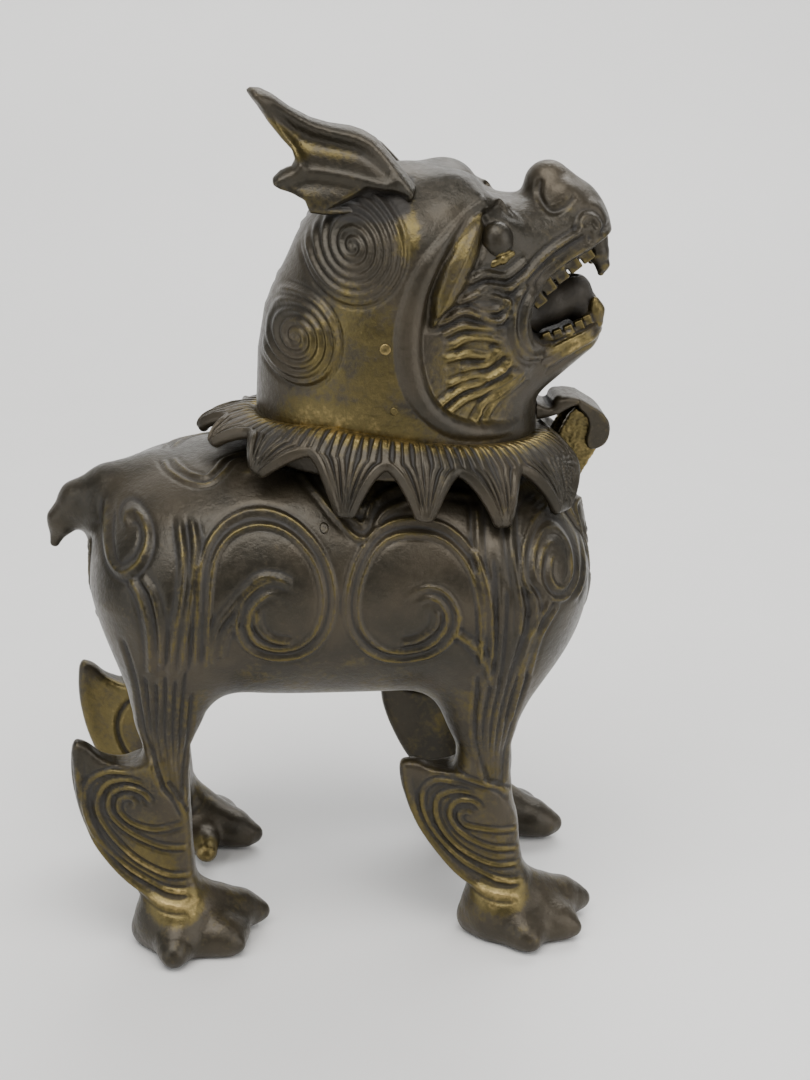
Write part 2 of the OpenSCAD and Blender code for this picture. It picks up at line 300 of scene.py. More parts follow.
def curve(points, gap=0.5):
    """A smooth line through points, as evenly spaced points."""
    pts = np.array(points, float)
    ext = np.vstack([2 * pts[0] - pts[1], pts, 2 * pts[-1] - pts[-2]])
    out = []
    for i in range(1, len(ext) - 2):
        a, b, c, d = ext[i - 1:i + 3]
        n = max(2, int(np.linalg.norm(c - b) / gap))
        t = (np.arange(n) / n)[:, None]
        out.append(0.5 * (
            2 * b + (c - a) * t + (2 * a - 5 * b + 4 * c - d) * t ** 2
            + (3 * b - a - 3 * c + d) * t ** 3
        ))
    out.append(pts[-1:])
    return np.vstack(out)


def line_distance(q, line):
    """Distance from points to a line, and how far along it they are, 0 to 1."""
    best = np.full(len(q), 1e9)
    along = np.zeros(len(q))
    n = len(line) - 1
    for i in range(n):
        a, d = line[i], line[i + 1] - line[i]
        w = q - a
        t = np.clip((w @ d) / (d @ d + 1e-9), 0, 1)
        gap = ((w - t[:, None] * d) ** 2).sum(1)
        near = gap < best
        best = np.where(near, gap, best)
        along = np.where(near, (i + t) / n, along)
    return np.sqrt(best), along


def bump(d, middle, width):
    return np.exp(-((d - middle) / width) ** 2)


# Each kind of line: ridges and grooves across it, and where the metal shines, as
# (amount, distance from the middle, width).
PROFILES = {
    "cord": ([(0.5, 0, 0.62), (-0.32, 1.35, 0.5)], (0.8, 0, 0.5)),
    "pair": ([(0.42, 1.15, 0.42), (-0.34, 0, 0.45), (-0.22, 1.95, 0.4)], (0.9, 1.15, 0.4)),
    "twin": ([(0.12, 0, 0.5), (-0.4, 0.85, 0.4)], (0.5, 0, 0.5)),
    "flute": ([(0.14, 1.0, 0.5), (-0.5, 0, 0.48)], (0.26, 1.0, 0.3)),
    "groove": ([(-0.5, 0, 0.5), (0.12, 1.0, 0.4)], (0.35, 0.95, 0.4)),
    "fold": ([(0.5, 0, 0.62), (-0.5, 1.25, 0.5)], (0.8, 0, 0.45)),
}


def profile(kind, d):
    """Height and shine across a line, at distance d from its middle."""
    ridges, (amount, middle, width) = PROFILES[kind]
    high = sum(rise * bump(d, at, wide) for rise, at, wide in ridges)
    return high, amount * bump(d, middle, width)


REACH = 3.4
TAPER = 0.07


def chase(points, normals, marks, view="side"):
    """Height and shine at points from a set of marks, seen from the side, top or front."""
    axes = {"side": (0, 2, 1), "top": (0, 1, 2), "front": (1, 2, 0)}[view]
    q = points[:, axes[:2]].copy()
    if view != "side":
        k = 1 if view == "top" else 0
        q[:, k] = -np.abs(q[:, k])
    facing = ramp(np.abs(normals[:, axes[2]]), 0.06, 0.3)
    high = np.zeros(len(points))
    shine = np.zeros(len(points))
    for kind, scale, dots in marks:
        line = curve(dots)
        low, top = line.min(0) - REACH, line.max(0) + REACH
        some = np.flatnonzero(((q > low) & (q < top)).all(1) & (facing > 0))
        if not len(some):
            continue
        d, t = line_distance(q[some], line)
        h, s = profile(kind, d)
        end = ramp(np.minimum(t, 1 - t), 0, TAPER) * facing[some] * scale
        high[some] += h * end
        shine[some] = np.maximum(shine[some], s * end)
    return high, shine


def spiral(points, normals, middle, radii, turns, rise, side=1):
    """A raised disc of hair with a spiral groove, on the side of the head."""
    u = (points[:, 0] - middle[0]) / radii[0]
    v = (points[:, 2] - middle[1]) / radii[1]
    r = np.sqrt(u * u + v * v)
    turn = side * np.arctan2(v, u) / (2 * math.pi)
    wave = np.cos(2 * math.pi * (r * turns - turn))
    edge = 1 - ramp(r, 0.93, 1.06)
    facing = ramp(np.abs(normals[:, 1]), 0.15, 0.4)
    high = (rise * edge + 0.3 * wave * edge * ramp(r, 0.0, 0.12)) * facing
    high -= 0.35 * bump(r, 1.08, 0.045) * facing
    return high, ramp(wave, 0.2, 1.0) * edge * facing


# ---------------------------------------------------------------- the body casting

HIND_FIN = [
    (-53, 46.3), (-50, 45.6), (-47, 42.4), (-43, 40.8), (-38.5, 42), (-34, 44), (-30, 38),
    (-29.4, 24), (-28.6, 11.5), (-33, 9.8), (-38.5, 11), (-45, 17), (-49.5, 23), (-52, 30),
    (-53.4, 38),
]
FORE_FIN = [
    (13.6, 39.6), (17, 39.8), (20.5, 38.2), (25, 38), (30, 40), (36, 31), (38, 27), (38.6, 20),
    (40.5, 12), (35, 9.8), (29, 11.3), (23.5, 16.5), (19, 22.5), (15.8, 29), (14, 34.5),
]
PAW_SHIFT = FORE_X - HIND_X
HIND_TOES = [
    [(-24, -18.4, 5.6, 4.6), (-19, -17.4, 4.4, 3.8), (-16.8, -17.0, 3.6, 3.1)],
    [(-27, -24.0, 5.0, 4.8), (-23.0, -27.4, 3.6, 3.3), (-21.8, -28.2, 3.1, 2.9)],
    [(-32, -26.5, 5.0, 5.0), (-33, -30.4, 3.5, 3.6), (-33.1, -31.6, 3.2, 3.1)],
    [(-37, -22, 4.2, 4.0), (-38.6, -21.6, 3.0, 3.2)],
    [(-27.4, -17, 4.6, 4.2), (-26.2, -11.6, 4.4, 2.9), (-25.8, -8.6, 3.8, 2.4)],
]
HIND_NAILS = [(-15.2, -17.0, 3.4, 2.3), (-20.4, -29.2, 2.9, 1.9), (-33.3, -33.4, 3.1, 2.5)]
FORE_TOES = [
    [(-24, -18.4, 5.6, 4.6), (-19, -17.4, 4.6, 4.0), (-16.6, -17.0, 3.8, 3.4)],
    [(-26, -23.0, 5.0, 4.8), (-21.0, -26.0, 3.6, 3.3), (-19.6, -26.8, 3.1, 2.9)],
    [(-31, -26.5, 4.8, 5.0), (-29, -30.0, 3.3, 3.5), (-28.4, -31.2, 3.0, 2.9)],
    [(-37, -22, 4.2, 4.0), (-38.6, -21.6, 3.0, 3.2)],
]
FORE_NAILS = [(-14.9, -17.0, 3.5, 2.5), (-18.2, -27.8, 2.9, 2.0), (-27.8, -32.8, 2.8, 2.1)]


def paw(p, toes, nails):
    d = merge(
        egg(p, (HIND_X - 0.3, -22.6, 6.0), (7.4, 7.2, 8.6)),
        (egg(p, (-27.6, -23.4, 3.2), (10.4, 7.8, 5.6)), 2.5),
        (chain(p, [(-31, -22, 10, 5.8), (-21, -18.8, 5.4, 3.6)]), 2.5),
        *((chain(p, toe), 2.4) for toe in toes),
        *((egg(p, (x, y, z), (r, r * 0.8, r)), 0.6) for x, y, z, r in nails),
    )
    return smooth_max(d, -p[2], 0.7)


def rounded(shape):
    """The same outline with its corners eased."""
    ring = np.array(shape, float)
    for _ in range(2):
        ahead = np.roll(ring, -1, 0)
        ring = np.stack([0.78 * ring + 0.22 * ahead, 0.22 * ring + 0.78 * ahead], 1).reshape(-1, 2)
    return [tuple(v) for v in ring]


def fin(p, shape, leg_x, reach):
    """A flame fin behind a leg. It thins out away from the leg."""
    away = ramp(np.abs(p[0] - leg_x), 3.5, reach)
    half = 5.6 - 3.6 * away
    flat = np.abs(p[1] - LEG_Y - 0.6) - half
    return smooth_max(outline(p[0], p[2], rounded(shape)), flat, 2.0)


def hind_leg(p):
    shaft = [
        (-33.8, -20.4, 54, 5.8), (-34.0, LEG_Y, 42, 4.4), (-34.2, -21, 28, 4.3),
        (HIND_X, -22, 11, 5.2),
    ]
    return merge(
        limb(p, (-33.0, -19.0, 76), (-33.6, -20.3, 52), 12.5, 6.4), (chain(p, shaft), 3),
        (fin(p, HIND_FIN, -33, 18), 2.2), (paw(p, HIND_TOES, HIND_NAILS), 2.0),
    )


def fore_leg(p):
    shaft = [
        (30.6, -21, 52, 6.4), (31.2, LEG_Y, 40, 5.4), (33.0, -21, 26, 4.9),
        (FORE_X, -22, 11, 5.3),
    ]
    moved = (p[0] - PAW_SHIFT, p[1], p[2])
    return merge(
        limb(p, (35.5, -21.0, 78), (30.6, -21, 50), 12.5, 6.6), (chain(p, shaft), 3),
        (fin(p, FORE_FIN, 33, 18), 2.2), (paw(moved, FORE_TOES, FORE_NAILS), 2.0),
    )


def tail(p):
    return chain(p, [
        (-37, 0, 91.5, 6.2), (-45, 0, 92.2, 4.8), (-50.8, 0, 90.4, 3.8),
        (-54.4, 0, 86.4, 2.5), (-55.9, 0, 81.4, 1.0),
    ], 2.0)


def chest(p):
    """Swags of mane on the chest."""
    upper = egg(p, (45.5, -6.5, 87), (6.5, 6.5, 9.5))
    return smooth_min(upper, egg(p, (48.5, 0, 72.5), (4.0, 5.0, 6.5)), 2)


def cavity(p):
    """The hollow of the barrel, the sunk seat and the mouth under the head."""
    d = barrel(p, WALL)
    seat = np.maximum(oval_wall(p, NECK_X, NECK_RX + 1.2, NECK_RY + 1.2), SEAT_Z - p[2])
    mouth = np.maximum(oval_wall(p, NECK_X, NECK_RX - 5, NECK_RY - 5), 84 - p[2])
    return smooth_min(np.minimum(seat, d), mouth, 0.6)


def body_outside(p):
    return merge(
        barrel(p), (chest(p), 3.0), (tail(p), 6.0), (hind_leg(p), 10.0), (fore_leg(p), 10.0)
    )


def body_field(p):
    return smooth_max(body_outside(p), -cavity(p), 0.5)


def body_owner(p):
    """0 barrel, 1 hind leg, 2 fore leg, 3 tail: which piece a point belongs to."""
    b = barrel(p) - 0.6
    near = np.stack([b, hind_leg(p) + 1.6, fore_leg(p) + 1.6, tail(p) + 1.4])
    own = np.argmin(near, 0)
    return np.where(cavity(p) < 0.3, 0, own)


SCROLL_LEFT = [
    (-27.2, 63), (-26.8, 70), (-26.4, 77), (-25.9, 84), (-24.9, 88.6), (-22.8, 91.8),
    (-19.6, 94), (-15.6, 95), (-11.4, 94.6), (-7.6, 92.6), (-4.4, 89), (-2.6, 84.4),
    (-2.2, 79), (-3.8, 73.5), (-7.5, 69.8), (-12.5, 69), (-17, 71), (-18.8, 75.5),
    (-17.5, 80), (-13.5, 83), (-9.5, 81.5),
]
SCROLL_RIGHT = [
    (29, 62), (29, 70), (28, 80), (26, 87), (21, 92), (14, 93.5), (8, 92), (4, 87),
    (2.3, 80), (3.3, 74), (7, 69.5), (12, 67.8), (18, 69), (21.5, 73), (22, 77), (20, 80.5),
    (17, 81.5), (14, 80), (13, 78.5),
]
CLOUD = [
    (-20, 101), (-14, 103), (-8, 103), (-3, 99.5), (0, 96.5), (4.5, 92.8), (8, 96.5),
    (12, 98), (18, 99.5), (24, 99), (29, 98),
]
FLANK_MARKS = [
    ("pair", 1.0, SCROLL_LEFT),
    ("pair", 1.0, SCROLL_RIGHT),
    ("pair", 0.8, CLOUD),
    ("cord", 0.8, [(x, z + 3.6) for x, z in CLOUD]),
    ("cord", 0.9, [(-25.0, 66), (-24.6, 71), (-23.2, 76), (-19.8, 80.4), (-15.6, 84.6),
                   (-11.8, 84.8), (-8.6, 83)]),
    ("cord", 0.8, [(-23.2, 68), (-22.2, 73), (-20.0, 76.6)]),
    ("cord", 0.8, [(-16.2, 79), (-15.6, 75), (-13, 72.4), (-9, 71.6)]),
    ("cord", 0.9, [(22, 73.5), (26, 70.5), (29, 66), (31, 60)]),
    ("cord", 0.8, [(19, 78), (18.6, 74.5), (15.5, 71.8), (12, 71)]),
    ("pair", 0.9, [
        (40, 80), (37, 84), (37, 89), (40, 92.5), (44, 92), (47, 88), (47, 83), (44.4, 80.4),
        (41.4, 81.4), (40, 84.6), (41, 88), (43.5, 88.4),
    ]),
    ("cord", 0.9, [(33, 96), (40, 97.4), (46, 94.4), (49.5, 88), (49.4, 81), (46, 77.5)]),
    ("pair", 0.8, [(37, 62), (38.6, 72), (42.4, 79.6)]),
    ("cord", 0.8, [(35.4, 50), (36.6, 64), (38.4, 76), (36.6, 84)]),
    ("cord", 0.9, [(27.6, 97), (27.0, 88), (28.0, 80), (28.6, 72)]),
    ("cord", 0.9, [(34.4, 97), (33.6, 90), (35.0, 80), (35.4, 72)]),
    ("cord", 1.0, [(-44.3, 94), (-45.0, 90.4), (-44.6, 87), (-43.6, 85.2), (-41.6, 84.6),
                   (-39.4, 86), (-37.8, 88), (-36.8, 90.6), (-37.3, 93), (-39.2, 94),
                   (-40.9, 92.8), (-40.6, 90.6)]),
    ("cord", 0.9, [(-28.4, 95), (-27.6, 91.4), (-27.7, 88), (-28.3, 84), (-29.0, 79.5),
                   (-29.8, 74), (-30.6, 67), (-30.9, 64)]),
    ("cord", 0.9, [(-30.6, 95), (-30.3, 91.4), (-29.9, 88), (-30.1, 84), (-30.8, 79.5),
                   (-31.8, 74), (-32.6, 67), (-32.8, 64)]),
    ("cord", 0.9, [(-40.6, 84.6), (-38.4, 81.2), (-37.0, 76), (-36.6, 69), (-36.7, 64)]),
    ("cord", 0.8, [(-38.4, 85), (-36.2, 82.4), (-35.0, 78), (-34.6, 72), (-34.8, 66)]),
]
FLUTES = [
    [(-35.8, 63), (-35.8, 57), (-35.8, 50), (-34.4, 41), (-33.0, 34)],
    [(-33.8, 65), (-34.0, 58), (-34.2, 50), (-33.4, 41), (-32.4, 33.6)],
    [(-31.8, 64), (-32.2, 58), (-32.6, 50), (-32.4, 41), (-31.8, 33)],
    [(-29.8, 66), (-30.3, 60), (-31.0, 50), (-31.4, 41), (-31.2, 33)],
    [(-28.6, 60), (-29.4, 50), (-30.4, 41), (-30.6, 34)],
    [(-42.2, 72), (-39.8, 62), (-38.2, 50), (-36.2, 42), (-34.4, 36)],
    [(-38.0, 64), (-37.6, 58), (-37.0, 50), (-35.4, 41), (-33.8, 35)],
    [(29.8, 90), (30.4, 76), (30.4, 62), (29.6, 50), (30.8, 41), (32.4, 34)],
    [(32.2, 84), (32.4, 76), (32.2, 62), (31.2, 50), (31.8, 41), (33.0, 34)],
    [(37.0, 80), (35.4, 70), (34.0, 62), (32.8, 50), (32.8, 41), (33.6, 33.6)],
    [(38.6, 76), (37.4, 70), (35.8, 62), (34.4, 50), (33.8, 41), (34.2, 33.6)],
    [(27.6, 64), (27.8, 58), (28.0, 50), (29.6, 42), (31.4, 36)],
    [(38.0, 64), (37.0, 58), (35.8, 50), (34.8, 42), (34.8, 35)],
]
HIND_MARKS = [
    ("twin", 1.1, [(-41, 40.2), (-46, 40), (-50, 37), (-50.6, 31), (-48.4, 25), (-43.6, 19.6),
                   (-36, 15.4), (-28.6, 14.0)]),
    ("twin", 1.1, [(-37.6, 37.8), (-42, 38.8), (-46.4, 37), (-48.4, 31.6), (-45.8, 26),
                   (-40.4, 20.8), (-34, 18), (-28.6, 17.4)]),
    ("twin", 1.1, [(-36.6, 33), (-38.6, 36), (-42, 37), (-45.4, 35), (-45.8, 31), (-42.4, 27.4),
                   (-36, 24.6), (-29.2, 23.6)]),
    ("twin", 1.0, [(-39.8, 33), (-41.2, 34.9), (-43.6, 34.2), (-43.8, 31.4), (-41, 29),
                   (-36.4, 28.2), (-30.4, 29.4)]),
    ("twin", 1.0, [(-34.6, 38.6), (-32, 34.6), (-30.4, 31)]),
    ("cord", 0.8, [(-52, 44), (-51.8, 38), (-51, 30.6), (-48.4, 23), (-43, 16.4),
                   (-36, 12.4), (-29, 11.4)]),
]
FORE_MARKS = [
    ("twin", 1.1, [(26, 36), (21, 36), (18.4, 33), (18.8, 28), (22, 22.6), (27.6, 17.6),
                   (33.6, 14.8), (40.4, 13.8)]),
    ("twin", 1.1, [(29.4, 33.8), (25, 34.2), (21.4, 32), (21.5, 27), (25, 22), (31, 18.4),
                   (39.6, 17.2)]),
    ("twin", 1.1, [(31, 30), (28.4, 32.2), (25, 31.6), (23.9, 28.4), (26.4, 24.6), (31.4, 22),
                   (39, 20.8)]),
    ("twin", 1.0, [(28.8, 28.8), (27.4, 29.8), (25.8, 28.6), (27, 26.6), (30.6, 26),
                   (38.4, 25.2)]),
    ("cord", 0.8, [(14.8, 38), (15.4, 33), (17.8, 26), (21.8, 20), (26.8, 14.6), (32, 12),
                   (39, 11.4)]),
    ("twin", 1.0, [(24.6, 38), (29, 36.8), (33.6, 35.4), (36.6, 33)]),
]
INNER_FIN_MARKS = [
    ("groove", 0.9, [(-37, 39.4), (-42.4, 37.6), (-45, 32), (-43.6, 26), (-39.4, 22)]),
]
BACK_MARKS = [
    ("pair", 0.8, [(-32.6, -3), (-31.4, -8), (-28.6, -12.8), (-25, -15), (-22.4, -12.4),
                   (-20.6, -9.2), (-17.4, -8), (-13.4, -9)]),
]
CHEST_MARKS = [
    ("pair", 1.0, [(-1.6, 66), (-5, 72), (-11, 78), (-14, 86), (-11, 92.6), (-5.6, 92),
                   (-3.6, 87), (-6, 83), (-9, 85), (-8.4, 88.4)]),
    ("cord", 1.0, [(-1.2, 60), (-6, 66), (-13, 72), (-17.4, 80)]),
]
RUMP_MARKS = [
    ("pair", 0.9, [(-2.4, 65), (-5.6, 70), (-8.6, 76), (-8.8, 81.4), (-6, 82.6), (-5, 79.4)]),
    ("cord", 0.9, [(-2, 59), (-8.6, 65), (-13.6, 72)]),
]


# ---------------------------------------------------------------- materials

class Nodes:
    """A small builder for shader trees."""

    def __init__(self, name):
        self.material = bpy.data.materials.new(name)
        self.material.use_nodes = True
        self.tree = self.material.node_tree
        self.tree.nodes.clear()
        self.out = self.add("ShaderNodeOutputMaterial")
        self.shader = self.add("ShaderNodeBsdfPrincipled")
        self.join(self.shader.outputs["BSDF"], self.out.inputs["Surface"])
        self.place = self.add("ShaderNodeTexCoord").outputs["Object"]

    def add(self, kind, **facts):
        node = self.tree.nodes.new(kind)
        for key, value in facts.items():
            setattr(node, key, value)
        return node

    def join(self, a, b):
        self.tree.links.new(a, b)

    def put(self, value, socket):
        if isinstance(value, bpy.types.NodeSocket):
            self.join(value, socket)
        else:
            socket.default_value = value

    def noise(self, scale, detail, rough=0.55):
        node = self.add("ShaderNodeTexNoise")
        for key, value in (("Scale", scale), ("Detail", detail), ("Roughness", rough)):
            node.inputs[key].default_value = value
        self.join(self.place, node.inputs["Vector"])
        return node.outputs["Fac"]

    def math(self, kind, a, b, clamp=False):
        node = self.add("ShaderNodeMath", operation=kind, use_clamp=clamp)
        self.put(a, node.inputs[0])
        self.put(b, node.inputs[1])
        return node.outputs[0]

    def times(self, a, b):
        return self.math("MULTIPLY", a, b)

    def vary(self, value, noise, amount):
        """The value, made uneven by a noise about its middle."""
        return self.math("ADD", value, self.times(self.math("SUBTRACT", noise, 0.5), amount))

    def span(self, value, low, high, out_low=0.0, out_high=1.0):
        node = self.add("ShaderNodeMapRange", interpolation_type="SMOOTHSTEP")
        self.put(value, node.inputs["Value"])
        ends = {"From Min": low, "From Max": high, "To Min": out_low, "To Max": out_high}
        for key, end in ends.items():
            node.inputs[key].default_value = end
        return node.outputs["Result"]

    def blend(self, factor, a, b):
        node = self.add("ShaderNodeMix", data_type="RGBA")
        for value, socket in ((factor, 0), (a, 6), (b, 7)):
            self.put(value, node.inputs[socket])
        return node.outputs[2]

    def attribute(self, name):
        return self.add("ShaderNodeAttribute", attribute_name=name).outputs["Fac"]

    def bump(self, height, depth, strength):
        node = self.add("ShaderNodeBump")
        node.inputs["Distance"].default_value = depth
        node.inputs["Strength"].default_value = strength
        self.join(height, node.inputs["Height"])
        self.join(node.outputs["Normal"], self.shader.inputs["Normal"])


PATINA_DARK = (0.023, 0.0195, 0.0125, 1)
PATINA_BROWN = (0.050, 0.040, 0.025, 1)
# Near-black, for dirt in the lines and for painted shade.
GRIME_AND_SHADE = (0.012, 0.010, 0.008, 1)
OLIVE = (0.110, 0.088, 0.037, 1)
GOLD = (0.38, 0.285, 0.118, 1)
GRAIN_DEPTH = 0.00022


def bronze(name, bare):
    """Cast bronze. bare from 0 to 1 is how much patina has been rubbed off overall."""
    n = Nodes(name)
    # One attribute brings rubbed brass together with a painted sheen. The other brings dirt in the
    # lines together with painted shade.
    wear = n.attribute("wear")
    grime = n.attribute("grime")
    broad = n.noise(55, 3.0)
    patch = n.noise(160, 5.0, 0.62)
    fine = n.noise(900, 4.0, 0.6)
    grain = n.noise(2600, 3.0, 0.6)
    tone = n.blend(n.span(broad, 0.35, 0.68), PATINA_DARK, PATINA_BROWN)
    tone = n.blend(n.span(fine, 0.45, 0.75, 0, 0.35), tone, PATINA_BROWN)
    # The rubbing here also carries the painted sheen of the belly and legs.
    rub = n.vary(n.vary(wear, patch, 0.85), fine, 0.55)
    rub = n.math("ADD", rub, bare)
    dull = n.span(rub, 0.12, 0.52)
    bright = n.span(rub, 0.5, 0.95)
    colour = n.blend(dull, tone, OLIVE)
    colour = n.blend(bright, colour, GOLD)
    # Darkens the colour with dirt and with painted shade under the ears, at the ear roots and
    # inside the mouth.
    dirt_and_shade = n.span(n.vary(grime, patch, 0.4), 0.25, 0.8)
    colour = n.blend(n.times(dirt_and_shade, 0.8), colour, GRIME_AND_SHADE)
    n.join(colour, n.shader.inputs["Base Color"])
    metal = n.math("SUBTRACT", n.span(dull, 0, 1, 0.5, 0.96), n.times(dirt_and_shade, 0.35), clamp=True)
    n.join(metal, n.shader.inputs["Metallic"])
    rough = n.math("ADD", n.span(fine, 0.3, 0.7, 0.30, 0.42), n.times(dirt_and_shade, 0.25))
    n.join(n.vary(rough, broad, 0.14), n.shader.inputs["Roughness"])
    height = n.math("ADD", n.times(grain, 0.25), fine)
    n.bump(n.math("ADD", height, n.times(patch, 1.6)), GRAIN_DEPTH, 0.5)
    return n.material


MATERIALS = {
    "patina_bronze": bronze("patina_bronze", 0.0),
    "worn_brass": bronze("worn_brass", 0.42),
}


# ---------------------------------------------------------------- making pieces

def corner_normals(points, quads):
    """Vertex normals from the faces about each vertex, weighted by area."""
    a, b, c, d = (points[quads[:, i]] for i in range(4))
    face = np.cross(c - a, d - b)
    total = np.zeros_like(points)
    for i in range(4):
        np.add.at(total, quads[:, i], face)
    return total / np.maximum(np.linalg.norm(total, axis=1, keepdims=True), 1e-9)


def rims(quads):
    """Closed loops of the edges that only one quad uses."""
    e = np.concatenate([quads[:, [i, (i + 1) % 4]] for i in range(4)])
    key = e[:, 0].astype(np.int64) << 32 | e[:, 1]
    back = e[:, 1].astype(np.int64) << 32 | e[:, 0]
    free = e[~np.isin(key, back)]
    follow = {}
    for a, b in free:
        follow.setdefault(int(a), []).append(int(b))
    loops = []
    while follow:
        start = next(iter(follow))
        loop, at = [], start
        while at in follow:
            loop.append(at)
            ahead = follow[at].pop()
            if not follow[at]:
                del follow[at]
            at = ahead
            if at == start:
                break
        loops.append(loop)
    return loops


def add_object(name, data):
    thing = bpy.data.objects.new(name, data)
    bpy.context.scene.collection.objects.link(thing)
    return thing


def make_piece(name, points, quads, normals, looks, body, slot, nodes, close=None):
    """A mesh piece from points in millimetres. close(loop centre) caps its open rims."""
    used, quads = np.unique(quads, return_inverse=True)
    quads = quads.reshape(-1, 4)
    points, normals = points[used], normals[used]
    looks = {k: v[used] for k, v in looks.items()}
    corners = [quads.reshape(-1)]
    sizes = [np.full(len(quads), 4)]
    if close is not None:
        for loop in rims(quads):
            middle = close(points[loop].mean(0))
            mid = len(points)
            points = np.vstack([points, middle])
            normals = np.vstack([normals, [0, 0, 1]])
            looks = {k: np.append(v, 0) for k, v in looks.items()}
            fan = [(b, a, mid) for a, b in zip(loop, loop[1:] + loop[:1])]
            corners.append(np.array(fan).reshape(-1))
            sizes.append(np.full(len(fan), 3))
    corners = np.concatenate(corners).astype(np.int32)
    sizes = np.concatenate(sizes).astype(np.int32)
    mesh = bpy.data.meshes.new(name)
    mesh.vertices.add(len(points))
    mesh.vertices.foreach_set("co", (points * MM).astype(np.float32).reshape(-1))
    mesh.loops.add(len(corners))
    mesh.loops.foreach_set("vertex_index", corners)
    mesh.polygons.add(len(sizes))
    starts = np.concatenate([[0], np.cumsum(sizes)[:-1]]).astype(np.int32)
    mesh.polygons.foreach_set("loop_start", starts)
    mesh.polygons.foreach_set("use_smooth", np.ones(len(sizes), dtype=bool))
    for key, values in looks.items():
        data = mesh.attributes.new(key, "FLOAT", "POINT").data
        data.foreach_set("value", values.astype(np.float32))
    mesh.update(calc_edges=True)
    mesh.validate()
    mesh.normals_split_custom_set_from_vertices(normals.astype(np.float32))
    piece = add_object(name, mesh)
    mesh.materials.append(MATERIALS[slot])
    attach(piece, body)
    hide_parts(*nodes)


def edge_shine(field, points, reach=0.7):
    """How sharply a surface turns outwards, for rubbed edges, and inwards, for deposits in
    creases.
    """
    turn = slope_of(field, points, reach)[0] / (reach * reach)
    return np.clip((turn - 0.12) / 0.35, 0, 1), np.clip((-turn - 0.08) / 0.3, 0, 1)


def zone(points, middle, radii, soft=0.35):
    """1 inside an egg-shaped zone, fading to 0. y is taken on the right side."""
    q = np.stack([points[:, 0], -np.abs(points[:, 1]), points[:, 2]], 1)
    r = np.sqrt((((q - np.array(middle)) / np.array(radii)) ** 2).sum(1))
    return 1 - ramp(r, 1 - soft, 1 + soft)


def rubbed(points, *spots):
    """The strongest of some zones. Each is an amount, then what zone takes."""
    return np.maximum.reduce([amount * zone(points, *where) for amount, *where in spots])


def owner_of_quads(quads, own):
    """One owner for each quad: the one that most of its corners have."""
    corners = own[quads]
    votes = np.stack([(corners == k).sum(1) for k in range(own.max() + 1)])
    return votes.argmax(0)


# ---------------------------------------------------------------- building the body

STEP = 0.42


def body_relief(points, normals, outward):
    """How far the lines raise each point of the body, and where they shine."""
    x, z = points[:, 0], points[:, 2]
    flutes = [("flute", 1.0, line) for line in FLUTES]
    relief, shine = chase(points, normals, FLANK_MARKS + flutes)
    on_fin, fin_shine = chase(points, normals, HIND_MARKS + FORE_MARKS)
    behind, behind_shine = chase(points, normals, INNER_FIN_MARKS)
    relief = relief + np.where(outward, on_fin, behind)
    shine = np.maximum(shine, np.where(outward, fin_shine, behind_shine))
    for marks, view, where in (
        (BACK_MARKS, "top", (z > 92) & (x < -16)),
        (CHEST_MARKS, "front", x > 38),
        (RUMP_MARKS, "front", x < -38),
    ):
        more, more_shine = chase(points, normals, marks, view)
        more *= where
        relief = relief + more
        shine = np.maximum(shine, more_shine * (more != 0))
    return relief, shine


def body_gold_and_sheen(points, outward):
    """Where hands have rubbed the body through to brass, and a broad painted sheen over the belly
    and legs.
    """
    return np.maximum(0.44 * zone(points, (-46, -17, 33), (8, 4, 12)) * ~outward, rubbed(
        points,
        (0.48, (-38, -24, 20.5), (6.5, 9, 4.6)),
        (0.36, (30, -24, 22), (7.5, 9, 6)),
        (0.52, (-33, -27, 11.5), (6.5, 9, 4.2)),
        (0.50, (35, -27, 11.5), (6.5, 9, 4.2)),
        (0.46, (-25.8, -7.5, 4.2), (4, 4.2, 4)),
        # Painted sheen: the belly and the legs made lighter and more golden.
        (0.26, (0, -20, 56), (36, 16, 9), 0.8),
        (0.22, (HIND_X, -22, 26), (18, 14, 28), 0.6),
        (0.22, (FORE_X - 2, -22, 26), (18, 14, 28), 0.6),
        (0.20, (0, -24, 60), (26, 14, 10)),
    ))


def build_body():
    low, high = np.array([-60, -41, -2.0]), np.array([60, 41, 108.0])
    points, quads, normals = sculpt(body_field, low, high, STEP)
    inner = cavity(fold(tuple(points.T))) > -0.4
    inner &= np.abs(body_outside(fold(tuple(points.T)))) > 0.4
    worn, dirty = edge_shine(body_field, points)
    outward = normals[:, 1] * np.sign(points[:, 1]) > 0
    relief, shine = body_relief(points, normals, outward)
    relief = np.where(inner, 0, relief)
    points = points + normals * relief[:, None]
    points[:, 2] = np.maximum(points[:, 2], 0.0)
    shown = corner_normals(points, quads)
    # Wear on the lines and edges, plus the painted sheen of the belly and legs.
    wear = np.clip(0.42 * shine + 0.15 * worn + body_gold_and_sheen(points, outward), 0, 1)
    wear = np.where(inner, 0.12, wear)
    grime = np.clip(np.clip(-relief * 2.4, 0, 1) + 0.8 * dirty, 0, 1)
    looks = {"wear": wear, "grime": grime}
    own = body_owner(fold(tuple(points.T)))
    owner = owner_of_quads(quads, own)
    right = points[quads].mean(1)[:, 1] < 0

    def on_barrel(c):
        for _ in range(4):
            value, slope, size = slope_of(lambda p: barrel(p) + 0.9, c[None])
            c = c - value[0] / max(size[0], 0.3) * slope[0]
        return c

    for name, keep in (
        ("vessel", owner == 0),
        ("leg_hind_right", (owner == 1) & right), ("leg_hind_left", (owner == 1) & ~right),
        ("leg_front_right", (owner == 2) & right), ("leg_front_left", (owner == 2) & ~right),
        ("tail", owner == 3),
    ):
        make_piece("fd_" + name, points, quads[keep], shown, looks, "body", "patina_bronze",
                   [name], on_barrel)


build_body()


# ---------------------------------------------------------------- the head casting

